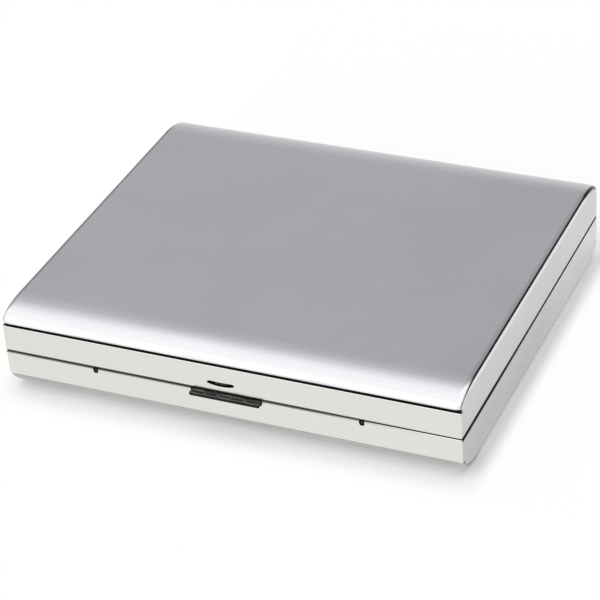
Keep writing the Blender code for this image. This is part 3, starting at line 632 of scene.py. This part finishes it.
frames = {side: makeFrame(side) for side in (lid, base)}

catch = {
    "centre": -0.9,
    "slotLength": 5.7,
    "slotHeight": 2.4,
    "slotSag": 1.1,
    "slotCrown": 0.15,
    "slotEnd": 0.74,        # height of the slot near its ends
    "slotBlunt": 8,     # the higher, the blunter the ends
    "slotSteps": 32,
    "slotClearance": 0.15,
    "reliefGrowth": 0.12,       # shallow step round the slot on the front
    "reliefDepth": 0.1,
    "noseWidth": 2.6,
    "noseReach": 0.6,
    "noseTaper": 0.1,
}
bar = {
    "length": 14.7,
    "centre": 0.05,
    "height": 0.82,
    "proud": 1.2,
    "drop": 0.21,
    "softness": 0.2,
    "fluteSoftness": 0.04,
    "flutes": 5,
    "fluteRadius": 0.8,
    "fluteSteps": 60,
    "fluteDepth": 0.14,
    "fluteSetback": 0.75,
    "fluteLand": 0.7,
    "notchGap": 0.12,
}
barTop = edgeHeight + bar["drop"]
barBottom = barTop + bar["height"]
rivet = {
    "spread": 56.0,
    "drop": 0.56,
    "radius": 0.4,
    "holeGap": 0.15,
    "recess": 0.1,
    "notchSteps": 20,
    "headRadius": 0.9,
    "headHeight": 0.45,
    "dome": 0.12,       # rounding of the tip and of the head
    "tipSteps": 5,
    "headSteps": 7,
}
rivetHeight = edgeHeight + rivet["drop"]
latchSides = {"Left": -1, "Right": 1}


def slotOutline(grow):
    # Crescent with blunt ends, grown all round by a little
    deepest = catch["slotSag"] - catch["slotCrown"]
    upper = []
    lower = []
    for index in range(catch["slotSteps"] + 1):
        share = -math.cos(math.pi * index / catch["slotSteps"])
        bow = 1 - share ** 2
        blunt = 1 - share ** catch["slotBlunt"]
        tall = catch["slotEnd"] + (deepest - catch["slotEnd"]) * bow
        middle = catch["slotHeight"] - catch["slotCrown"] * bow - tall / 2
        x = catch["centre"] + share * (catch["slotLength"] / 2 + grow)
        reach = tall * math.sqrt(blunt) / 2 + grow * blunt
        upper.append((x, middle + reach))
        lower.append((x, middle - reach))
    return laid(lid, lower + upper[-2:0:-1])


def cutFrames():
    outside = frontFace - overrun
    inside = frontWallInner + fitGap / 2
    combine(frames[lid], prism("catchSlot", "Y", slotOutline(0), outside, inside))
    relief = slotOutline(catch["reliefGrowth"])
    combine(frames[lid], prism("catchRelief", "Y", relief, outside, frontFace + catch["reliefDepth"]))
    half = bar["length"] / 2 + bar["notchGap"]
    span = heightSpan(base, barBottom + bar["notchGap"], -overrun)
    combine(frames[base], block("barNotch", (bar["centre"] - half, bar["centre"] + half), (outside, inside), span))
    reach = (frontFace + frameLook["cornerRadius"], backFace - frameLook["cornerRadius"])
    for hand in (-1, 1):
        combine(frames[base], rivetNotch(hand, outside, inside))
        ends = sorted((hand * (sideWallInner - overrun), hand * (halfWidth + overrun)))
        for side, frameShell in frames.items():
            span = heightSpan(side, -overrun, edgeHeight + frameLook["endRelief"])
            combine(frameShell, block("endRelief", ends, reach, span))


def rivetNotch(hand, low, high):
    radius = rivet["radius"] + rivet["holeGap"]
    x = hand * rivet["spread"] / 2
    bottom = arc((x, level(base, rivetHeight)), radius, -180, 0, rivet["notchSteps"])
    top = level(lid, overrun)
    return prism("rivetNotch", "Y", bottom + [(x + radius, top), (x - radius, top)], low, high)


cutFrames()
for side, shell in frames.items():
    dress(shell, "polishedFrame", halfName[side], "polished_frame", halfName[side] + "_frame", sharp=30)
print("frames made")


# Liners: pressed trays with a rim behind the frame

tray = {
    "sideRim": 1.2,
    "rimRecess": 0.1,
    "rimCorner": 0.4,
    "rimSteps": 4,
    "backRim": 0.65,
    "corner": 2.0,
    "leastCorner": 0.3,     # rounding that is left of a corner at the floor, beyond the bend
    "floorRise": 1.9,
    "rimBend": 0.35,
    "travel": 1.0,
    "travelGap": 0.2,
    "cornerSteps": 8,
    "bendSteps": 8,
}
hookSheet = 0.4
stripSheet = 0.3
hookFront = frontWallInner + fitGap
hookBack = hookFront + hookSheet
stripFront = hookBack + fitGap
stripBack = stripFront + stripSheet
rimFront = frontWallInner + fitGap
rimBack = leafInner - fitGap
rimHalf = sideWallInner - fitGap
trayHalf = sideWallInner - tray["sideRim"]
trayFront = stripBack + tray["travel"] + tray["travelGap"]
trayBack = rimBack - tray["backRim"]
floorOuter = case["halfHeight"] - case["coverSheet"] - fitGap
floorInner = floorOuter - case["linerSheet"]


def planLoop(xHalf, yLow, yHigh, radius, z):
    corners = [
        (xHalf - radius, yHigh - radius, 0), (radius - xHalf, yHigh - radius, 90),
        (radius - xHalf, yLow + radius, 180), (xHalf - radius, yLow + radius, 270),
    ]
    points = []
    for x, y, start in corners:
        points += arc((x, y), radius, start, start + 90, tray["cornerSteps"])
    return [(x, y, z) for x, y in points]


def makeLiner(side):
    half = case["linerSheet"] / 2
    rimMiddle = edgeHeight + tray["rimRecess"] + half
    wallX = trayHalf - half
    wallFront = trayFront + half
    wallBack = trayBack - half
    floorMiddle = floorOuter - half
    loops = [planLoop(rimHalf, rimFront, rimBack, tray["rimCorner"], level(side, rimMiddle))]
    bend = tray["rimBend"]
    for out, height in reversed(arc((bend, rimMiddle + bend), bend, 180, 270, tray["rimSteps"])):
        loops.append(planLoop(
            wallX + out, wallFront - out, wallBack + out, tray["corner"] - half + out, level(side, height),
        ))
    rise = tray["floorRise"] - half
    for inset, height in arc((rise, floorMiddle - rise), rise, 180, 90, tray["bendSteps"]):
        corner = max(tray["corner"] - half, inset + tray["leastCorner"])
        loops.append(planLoop(wallX - inset, wallFront + inset, wallBack - inset, corner, level(side, height)))
    liner = loftLoops(halfName[side] + "Liner", loops, capped=False)
    inmost = max if side == lid else min
    with editing(liner.data) as shape:
        floorZ = inmost(vert.co.z for vert in shape.verts)
        floorEdges = [
            edge for edge in shape.edges
            if len(edge.link_faces) == 1 and abs(edge.verts[0].co.z - floorZ) < case["weld"] * mm
        ]
        bmesh.ops.contextual_create(shape, geom=floorEdges)
        bmesh.ops.recalc_face_normals(shape, faces=shape.faces)
    return thicken(liner, case["linerSheet"])


liners = {side: makeLiner(side) for side in (lid, base)}


def openRim(side, centre, length):
    # Opens the rim in front of the tray where the latch works across the parting plane
    reach = length / 2 + overrun
    ends = (rimFront - overrun, trayFront - fitGap)
    span = heightSpan(side, 0, edgeHeight + tray["rimRecess"] + case["linerSheet"] + overrun)
    combine(liners[side], block("rimOpening", (centre - reach, centre + reach), ends, span))


hook = {
    "plateLength": 12.0,
    "plateHeight": 2.8,
    "plateDrop": 0.25,
    "tabWidth": 4.4,
    "tabHeight": 2.65,
    "softness": 0.08,
}
strip = {"length": 61.0, "height": 2.8, "drop": 0.1, "flat": 16.0, "bow": 48.0, "easeSteps": 24, "softness": 0.06}
openRim(base, 0, strip["length"])
openRim(lid, catch["centre"], hook["tabWidth"])
for side, liner in liners.items():
    dress(liner, "brightLiner", halfName[side], "bright_liner", halfName[side] + "_liner")
print("liners made")


# Hinge: two leaves rolled round one pin

def leafRows():
    # From the free edge of the leaf to the end of its roll
    middle = (leafOuter + leafInner) / 2
    radius = hinge["barrelRadius"] - case["hingeSheet"] / 2
    bend = Vector((middle - hingeY, hinge["bendHeight"]))
    start = math.degrees(math.atan2(bend.y, bend.x) + math.acos(radius / bend.length))
    return middle, arc((hingeY, 0), radius, start, hinge["eyeEnd"], hinge["eyeSteps"])


def makeHingeLeaf(side, owned):
    middle, eye = leafRows()
    bottom = coverLow(side) - case["flange"] - fitGap
    notchHeight = reliefRadius + fitGap
    path = [(middle, bottom), (middle, hinge["bendHeight"])]
    share = (hinge["bendHeight"] - notchHeight) / (hinge["bendHeight"] - eye[0][1])
    path.append((middle + (eye[0][0] - middle) * share, notchHeight))
    path += eye
    pitch = (hinge["length"] + hinge["knuckleGap"]) / hinge["knuckles"]
    columns = []
    solid = []
    for index in range(hinge["knuckles"]):
        low = -hinge["length"] / 2 + index * pitch
        high = low + pitch - hinge["knuckleGap"]
        columns += [low, high]
        solid += [index in owned, False]
    rows = [[(x, y, level(side, height)) for x in columns] for y, height in path]
    name = halfName[side]
    # The plate runs all along, up to its bend, and only this leaf's knuckles go on from there
    leaf = ribbon(name + "HingeLeaf", rows, case["hingeSheet"], lambda row, column: row < 2 or solid[column])
    soften(leaf, hinge["leafSoftness"], segments=2, angle=60)
    dress(leaf, "hingeSteel", name, "hinge_steel", name + "_hinge_leaf", sharp=50)


makeHingeLeaf(lid, (0, 2, 4))
makeHingeLeaf(base, (1, 3))


def pinProfile(radius, reach, dome, steps=6):
    # Rod with slightly domed ends
    right = [
        (radius * math.cos(turn), reach - dome + dome * math.sin(turn)) for turn in quarterTurn(steps)[:-1]
    ] + [(case["axisRadius"], reach)]
    return [(r, -along) for r, along in reversed(right)] + right


hingePin = turned(
    "hingePin", "X", pinProfile(hinge["pinRadius"], hinge["length"] / 2, hinge["pinDome"]),
    (hingeY, case["halfHeight"]),
)
dress(hingePin, "pinSteel", "base", "pin_steel", "hinge_pin")
print("hinge made")


# Latch: push bar with finger flutes, hook, flat spring and its rivets

def makeLatchBar():
    half = bar["length"] / 2
    front = frontFace - bar["proud"]
    ends = (bar["centre"] - half, bar["centre"] + half)
    piece = block("latchBar", ends, (front, frontWallInner), heightSpan(base, barBottom, barTop))
    soften(piece, bar["softness"], segments=4)
    settle(piece)
    fluteLength = (bar["length"] - bar["fluteLand"] * (bar["flutes"] + 1)) / bar["flutes"]
    centre = (front + bar["fluteSetback"], level(base, barTop) + bar["fluteRadius"] - bar["fluteDepth"])
    outline = circle(centre, bar["fluteRadius"], bar["fluteSteps"])
    for index in range(bar["flutes"]):
        low = bar["centre"] - half + bar["fluteLand"] + index * (fluteLength + bar["fluteLand"])
        combine(piece, prism("flute", "X", outline, low, low + fluteLength))
    soften(piece, bar["fluteSoftness"], segments=2, angle=45)
    dress(piece, "darkPushBar", "latch", "dark_push_bar", "latch_bar", sharp=30)


def makeLatchHook():
    plateTop = edgeHeight + hook["plateDrop"]
    low = level(base, plateTop + hook["plateHeight"])
    top = level(base, plateTop)
    tip = level(lid, hook["tabHeight"])
    left, right = (bar["centre"] + hand * hook["plateLength"] / 2 for hand in (-1, 1))
    tabLeft, tabRight = (catch["centre"] + hand * hook["tabWidth"] / 2 for hand in (-1, 1))
    outline = [
        (left, low), (right, low), (right, top), (tabRight, top), (tabRight, tip), (tabLeft, tip), (tabLeft, top),
        (left, top),
    ]
    piece = prism("latchHook", "Y", outline, hookFront, hookBack)
    noseLow = catch["slotHeight"] - catch["slotSag"] + catch["slotClearance"] * 2
    noseHigh = catch["slotHeight"] - catch["slotCrown"] - catch["slotClearance"]
    front = hookFront - catch["noseReach"]
    root = hookFront + hookSheet / 2
    profile = laid(lid, [
        (root, noseLow), (front, noseLow), (front, noseHigh - catch["noseTaper"]), (hookFront, noseHigh),
        (root, noseHigh),
    ])
    noseHalf = catch["noseWidth"] / 2
    combine(piece, prism("nose", "X", profile, catch["centre"] - noseHalf, catch["centre"] + noseHalf), "UNION")
    soften(piece, hook["softness"])
    dress(piece, "hookSteel", "latch", "hook_steel", "latch_hook")


def makeLatchSpring():
    endY = hookFront + stripSheet / 2
    middleY = stripFront + stripSheet / 2
    inner = strip["flat"] / 2
    outer = strip["bow"] / 2
    right = [(strip["length"] / 2, endY)]
    for index in range(strip["easeSteps"] + 1):
        share = index / strip["easeSteps"]
        ease = (1 - math.cos(math.pi * share)) / 2
        right.append((outer + (inner - outer) * share, endY + (middleY - endY) * ease))
    right.append((0.0, middleY))
    top = edgeHeight + strip["drop"]
    heights = [level(base, top + strip["height"]), level(base, top)]
    # Two halves, which meet behind the hook, each notched round its rivet
    for end, hand in latchSides.items():
        piece = ribbon("latchSpring" + end, [[(hand * x, y, z) for z in heights] for x, y in right], stripSheet)
        span = (hookFront - fitGap / 2, hookFront + stripSheet + fitGap)
        combine(piece, rivetNotch(hand, *span))
        soften(piece, strip["softness"], segments=2, angle=50)
        bends = ("latch", (hand * outer, middleY, heights[1]), (hand * inner, middleY, heights[1]))
        dress(piece, "springSteel", "base", "spring_steel", "latch_spring", bends=bends)


def makeRivets():
    tip = frontFace + rivet["recess"]
    seat = hookFront + stripSheet + fitGap
    dome = rivet["dome"]
    rise = rivet["headHeight"] - dome
    shank = [
        (rivet["radius"] * math.sin(turn), tip + dome * (1 - math.cos(turn))) for turn in quarterTurn(rivet["tipSteps"])
    ]
    head = [
        (rivet["headRadius"] * math.cos(turn), seat + dome + rise * math.sin(turn))
        for turn in quarterTurn(rivet["headSteps"])
    ]
    profile = (
        [(case["axisRadius"], tip)] + shank[1:] + [(rivet["radius"], seat), (rivet["headRadius"], seat)]
        + head[:-1] + [(case["axisRadius"], seat + rivet["headHeight"])]
    )
    for end, hand in latchSides.items():
        x = hand * rivet["spread"] / 2
        piece = turned("latchRivet" + end, "Y", profile, (x, level(base, rivetHeight)))
        dress(piece, "rivetSteel", "base", "rivet_steel", "latch_rivet_" + end.lower())


makeLatchBar()
makeLatchHook()
makeLatchSpring()
makeRivets()
print("latch made")


# Retaining arms with their brackets, pins and torsion springs

arm = {
    "sheet": 0.45,
    "eyeRadius": 1.1,
    "rootWidth": 14.0,
    "tipWidth": 9.0,
    "tipSteps": 14,
    "reach": 56.8,
    "offset": 14.0,
    "pivotSetback": 3.7,
    "pivotLift": 1.6,
    "swing": 13.0,
    "springNotch": 6.2,
    "lipRadius": 4.0,
    "lipAngle": 40.0,
    "neckRows": (2.4, 1.45),        # distances from the pin at which the plate narrows to its eyes
    "eyeEnd": 195.0,
    "eyeSteps": 28,
    "softness": 0.1,
}
bracket = {
    "earSheet": 0.5, "earRadius": 1.2, "earSteps": 36, "backDrop": 0.15, "web": 0.4, "pinEnd": 0.2,
    "softness": 0.08, "pinRadius": 0.45, "pinDome": 0.12, "stopRadius": 0.3, "stopSetback": 1.75,
    "stopEarRadius": 0.75, "stopGap": 0.1,
}
coil = {
    "wireRadius": 0.2, "wireSteps": 4, "radius": 0.95, "turns": 5, "steps": 36, "pitch": 0.85,
    "frontLeg": 5.5, "legRoot": 1.2, "legBend": 2.4, "legShares": (0.0, 0.15, 0.5, 1.0),
}
armPivotY = trayBack - case["linerSheet"] - arm["pivotSetback"]
armPivotHeight = floorInner - arm["pivotLift"]
armFace = arm["eyeRadius"] - arm["sheet"]
webBack = trayBack - case["linerSheet"] - fitGap
webFront = webBack - bracket["web"]
earInner = arm["rootWidth"] / 2 + fitGap
earOuter = earInner + bracket["earSheet"]
stopSlope = bracket["stopSetback"] * math.sin(math.radians(arm["swing"]))
stopOffset = armFace - bracket["stopRadius"] - bracket["stopGap"] - stopSlope
stopOffset = stopOffset / math.cos(math.radians(arm["swing"]))


def makeArm(side):
    pathRadius = arm["eyeRadius"] - arm["sheet"] / 2
    plate = armPivotHeight + pathRadius
    tipY = armPivotY - arm["reach"]
    straight = tipY + arm["lipRadius"] * math.sin(math.radians(arm["lipAngle"]))
    tipHalf = arm["tipWidth"] / 2
    rootHalf = arm["rootWidth"] / 2
    rootY = armPivotY - rootHalf
    places = [tipY + tipHalf * (1 - math.cos(turn)) for turn in quarterTurn(arm["tipSteps"])]
    places += [rootY] + [armPivotY - setback for setback in arm["neckRows"]]
    rows = []
    for y in places:
        fall = max(0.0, straight - y)
        height = plate - arm["lipRadius"] + math.sqrt(arm["lipRadius"] ** 2 - fall ** 2)
        if y < tipY + tipHalf:
            half = math.sqrt(max(0.0, tipHalf ** 2 - (tipY + tipHalf - y) ** 2))
        else:
            half = tipHalf + (rootHalf - tipHalf) * min(1.0, (y - tipY - tipHalf) / (rootY - tipY - tipHalf))
        rows.append((y, height, half))
    plateRows = len(rows) - 1
    rows += [(y, height, rootHalf) for y, height in
             arc((armPivotY, armPivotHeight), pathRadius, 90, -arm["eyeEnd"], arm["eyeSteps"])]
    centre = side * arm["offset"]
    notch = arm["springNotch"] / arm["rootWidth"]
    shares = (-1, -notch, notch, 1)
    grid = [[(centre + share * half, y, level(side, height)) for share in shares] for y, height, half in rows]
    name = halfName[side]
    piece = ribbon(name + "Arm", grid, arm["sheet"], lambda row, column: row < plateRows or column != 1)
    soften(piece, arm["softness"], angle=60)
    dress(piece, "polishedArm", name + "_arm", "polished_arm", name + "_arm", sharp=50)


def hull(points):
    ordered = sorted(set(points))

    def chain(sequence):
        kept = []
        for point in sequence:
            while len(kept) > 1:
                ahead = Vector(kept[-1]) - Vector(kept[-2])
                across = Vector(point) - Vector(kept[-2])
                if ahead.x * across.y - ahead.y * across.x > 1e-6:
                    break
                kept.pop()
            kept.append(point)
        return kept[:-1]

    return chain(ordered) + chain(reversed(ordered))


def makeBracket(side):
    pinPlace = (armPivotY, armPivotHeight)
    stopPlace = (armPivotY - bracket["stopSetback"], armPivotHeight + stopOffset)
    high = armPivotHeight - bracket["earRadius"]
    low = armPivotHeight + bracket["backDrop"]
    rounds = ((pinPlace, bracket["earRadius"]), (stopPlace, bracket["stopEarRadius"]))
    points = [point for place, radius in rounds for point in circle(place, radius, bracket["earSteps"])]
    ear = hull(points + [(webBack, high), (webBack, low)])
    centre = side * arm["offset"]
    name = halfName[side]
    ends = (centre - earOuter, centre + earOuter)
    piece = block(name + "ArmBracket", ends, (webFront, webBack), heightSpan(side, low, high))
    for hand in (-1, 1):
        ends = sorted((centre + hand * earInner, centre + hand * earOuter))
        combine(piece, prism("ear", "X", laid(side, ear), ends[0], ends[1]), "UNION")
    soften(piece, bracket["softness"], segments=2, angle=50)
    dress(piece, "bracketSteel", name, "bracket_steel", name + "_arm_bracket")
    reach = earOuter + bracket["pinEnd"]
    for label, place, radius in (("Arm", pinPlace, bracket["pinRadius"]), ("Stop", stopPlace, bracket["stopRadius"])):
        profile = [(r, centre + along) for r, along in pinProfile(radius, reach, bracket["pinDome"])]
        pin = turned(name + label + "Pin", "X", profile, (place[0], level(side, place[1])))
        dress(pin, "pinSteel", name, "pin_steel", f"{name}_{label.lower()}_pin")


def makeArmSpring(side):
    # One wire: back leg, turns round the pin, front leg bent down onto the arm
    centre = side * arm["offset"]
    startX = centre - coil["turns"] * coil["pitch"] / 2
    top = armPivotHeight - coil["radius"]
    points = [(startX, webFront - fitGap - coil["wireRadius"], top)]
    for index in range(coil["turns"] * coil["steps"] + 1):
        angle = -math.pi / 2 - 2 * math.pi * index / coil["steps"]
        points.append((
            startX + coil["pitch"] * index / coil["steps"],
            armPivotY + coil["radius"] * math.cos(angle),
            armPivotHeight + coil["radius"] * math.sin(angle),
        ))
    endX = startX + coil["turns"] * coil["pitch"]
    rest = armPivotHeight + armFace - fitGap - coil["wireRadius"]
    bendStart = (armPivotY - coil["legBend"], top)
    legEnd = (armPivotY - coil["frontLeg"], rest)
    for share in coil["legShares"]:
        points.append((
            endX, bendStart[0] + (legEnd[0] - bendStart[0]) * share,
            bendStart[1] + (legEnd[1] - bendStart[1]) * share,
        ))
    curve = bpy.data.curves.new("armSpringWire", "CURVE")
    curve.dimensions = "3D"
    curve.bevel_depth = coil["wireRadius"] * mm
    curve.bevel_resolution = coil["wireSteps"]
    curve.use_fill_caps = True
    line = curve.splines.new("POLY")
    line.points.add(len(points) - 1)
    for knot, (x, y, height) in zip(line.points, points):
        knot.co = (x * mm, y * mm, level(side, height) * mm, 1.0)
    wire = newObject("armSpringWire", curve)
    mesh = finalMesh(wire)
    bpy.data.objects.remove(wire)
    name = halfName[side]
    piece = newObject(name + "ArmSpring", mesh)
    height = level(side, armPivotHeight)
    root, bend = ((centre, armPivotY - coil[place], height) for place in ("legRoot", "legBend"))
    bends = (name + "_arm", root, bend)
    dress(piece, "springSteel", name, "spring_steel", name + "_arm_spring", sharp=60, bends=bends)


for side in (lid, base):
    makeArm(side)
    makeBracket(side)
    makeArmSpring(side)
print("arms made")


# Studio: floor, world light and camera

floorLook = {
    "size": 8000.0,
    "colour": (0.97, 0.97, 0.97),
    "roughness": 0.9,
    "specular": 0.1,
    "glow": (1.0, 1.0, 1.0),
    "white": (0.1, 0.95),     # share of plain white close to the case and farther out
    "whiteAside": (0.75, 4.5),      # how far out it grows, at the sides, in front and behind the open lid
    "whiteAhead": (1.2, 7.2),
    "whiteBehind": (88.0, 96.0),
    "lidShare": 0.5,          # share where the open lid lies
    "lidSpan": (1.2, 12.0),
    "mirrored": (0.56, 0.97),       # the same share in the metal's reflections
    "mirroredAside": (4.2, 5.8),
    "mirroredAhead": (1.2, 7.2),
    "mirroredBehind": (1.2, 7.2),
}
# World light by direction: a patch covers what comes before it, in full past the end of all its spans
# (axis, start, end) and not at all before the start of one
studio = {
    "front": (1.53, 1.525, 1.51),       # overhead, which the front rolls mirror
    "frontLow": {       # lower down in front
        "colour": (1.10, 1.10, 1.10), "spans": (("Y", -0.38, -0.66), ("Z", 0.90, 0.66), ("X", -0.28, -0.02)),
    },
    "backSpan": (0.50, 0.67),
    "backLean": 0.3,        # how far the edge of the wall behind the case moves back towards the right
    "backLeft": (0.57, 0.573, 0.585),       # that wall, dimmer, from its left end
    "backRight": {"colour": (0.48, 0.483, 0.494), "spans": (("X", -0.52, -0.20),)},     # to its right end
    "horizon": {        # lighter foot of that wall
        "colour": (0.86, 0.86, 0.86), "spans": (("Z", 0.55, 0.10), ("X", -0.60, -0.42)),
    },
    "patches": (
        # Right-hand side, low down; left, low down; dark gap at the wall's right end; low behind the case on the left
        {"colour": (0.45, 0.45, 0.45), "spans": (("X", 0.25, 0.60), ("Z", 0.95, 0.80))},
        {"colour": (0.90, 0.90, 0.90), "spans": (("X", -0.60, -0.80), ("Z", 0.60, 0.35))},
        {
            "colour": (0.02, 0.02, 0.022),
            "spans": (("X", 0.02, 0.25), ("X", 0.85, 0.68), ("Y", 0.25, 0.50), ("Z", 0.85, 0.60)),
        },
        {"colour": (0.28, 0.28, 0.28), "spans": (("X", -0.49, -0.57), ("Y", 0.30, 0.50), ("Z", 0.46, 0.32))},
    ),
}
camera = {
    "place": (174.863, -366.916, 272.136),
    "turn": (56.57634, 3.91474, 23.22178),
    "lens": 142.6193,
    "sensor": 36.0,
    "clip": (0.01, 20.0),
}


def makeFloor():
    half = floorLook["size"] / 2
    corners = [(-half, -half, 0), (half, -half, 0), (half, half, 0), (-half, half, 0)]
    floor = meshObject("floor", corners, [(0, 1, 2, 3)])
    material = bpy.data.materials.new("paleFloor")
    wires = wiring(material)
    maths, ramp = wires.maths, wires.ramp
    shader = wires.nodes["Principled BSDF"]
    wires.feed(shader, {
        "Base Color": floorLook["colour"], "Roughness": floorLook["roughness"],
        "Specular IOR Level": floorLook["specular"],
    })
    glow = wires.add("ShaderNodeEmission", {"Color": floorLook["glow"]})
    rays = wires.add("ShaderNodeLightPath", {}).outputs
    place, axes = wires.coordinates("Object")

    def outward(source, start, span):
        # 0 to 1 over a span of distances from a face of the case
        reach = (span[1] - span[0]) * mm
        return maths("MULTIPLY_ADD", source, 1.0 / reach, -(start + span[0]) * mm / reach)

    def whiteShare(name):
        # Grows away from the case on all sides, so that only the shadow close to it stays
        aside = outward(maths("ABSOLUTE", axes["X"]), halfWidth, floorLook[name + "Aside"])
        ahead = outward(maths("MULTIPLY", axes["Y"], -1.0), -frontFace, floorLook[name + "Ahead"])
        behind = outward(axes["Y"], backFace, floorLook[name + "Behind"])
        return ramp(maths("MAXIMUM", maths("MAXIMUM", aside, ahead), behind), levels=floorLook[name])

    underLid = ramp(outward(axes["Y"], backFace, floorLook["lidSpan"]), levels=(0.0, floorLook["lidShare"]))
    seen = maths("MULTIPLY", rays["Is Camera Ray"], maths("MAXIMUM", whiteShare("white"), underLid))
    mirrored = maths("MAXIMUM", rays["Is Glossy Ray"], rays["Is Transmission Ray"])
    share = maths("MAXIMUM", seen, maths("MULTIPLY", mirrored, whiteShare("mirrored")))
    mixed = wires.add("ShaderNodeMixShader", {0: share, 1: shader.outputs[0], 2: glow.outputs[0]})
    wires.feed(wires.nodes["Material Output"], {"Surface": mixed.outputs[0]})
    floor.data.materials.append(material)


def makeWorld():
    world = bpy.data.worlds.new("studioLight")
    bpy.context.scene.world = world
    wires = wiring(world)
    place, axes = wires.coordinates("Generated")

    def patched(light, patch):
        share = wires.product([wires.ramp(axes[axis], span) for axis, *span in patch["spans"]])
        return wires.mix(share, light, patch["colour"])

    wall = patched(patched(studio["backLeft"], studio["backRight"]), studio["horizon"])
    lean = wires.maths("MULTIPLY_ADD", axes["X"], -studio["backLean"], axes["Y"])
    light = wires.mix(wires.ramp(lean, studio["backSpan"]), patched(studio["front"], studio["frontLow"]), wall)
    for patch in studio["patches"]:
        light = patched(light, patch)
    wires.feed(wires.nodes["Background"], {"Color": light})


def makeCamera():
    data = bpy.data.cameras.new("camera")
    data.lens = camera["lens"]
    data.sensor_width = camera["sensor"]
    data.clip_start, data.clip_end = camera["clip"]
    viewer = newObject("camera", data)
    viewer.location = [value * mm for value in camera["place"]]
    viewer.rotation_euler = [math.radians(value) for value in camera["turn"]]
    bpy.context.scene.camera = viewer


makeFloor()
makeWorld()
makeCamera()
bpy.context.scene.view_settings.view_transform = "Standard"
print("studio made")
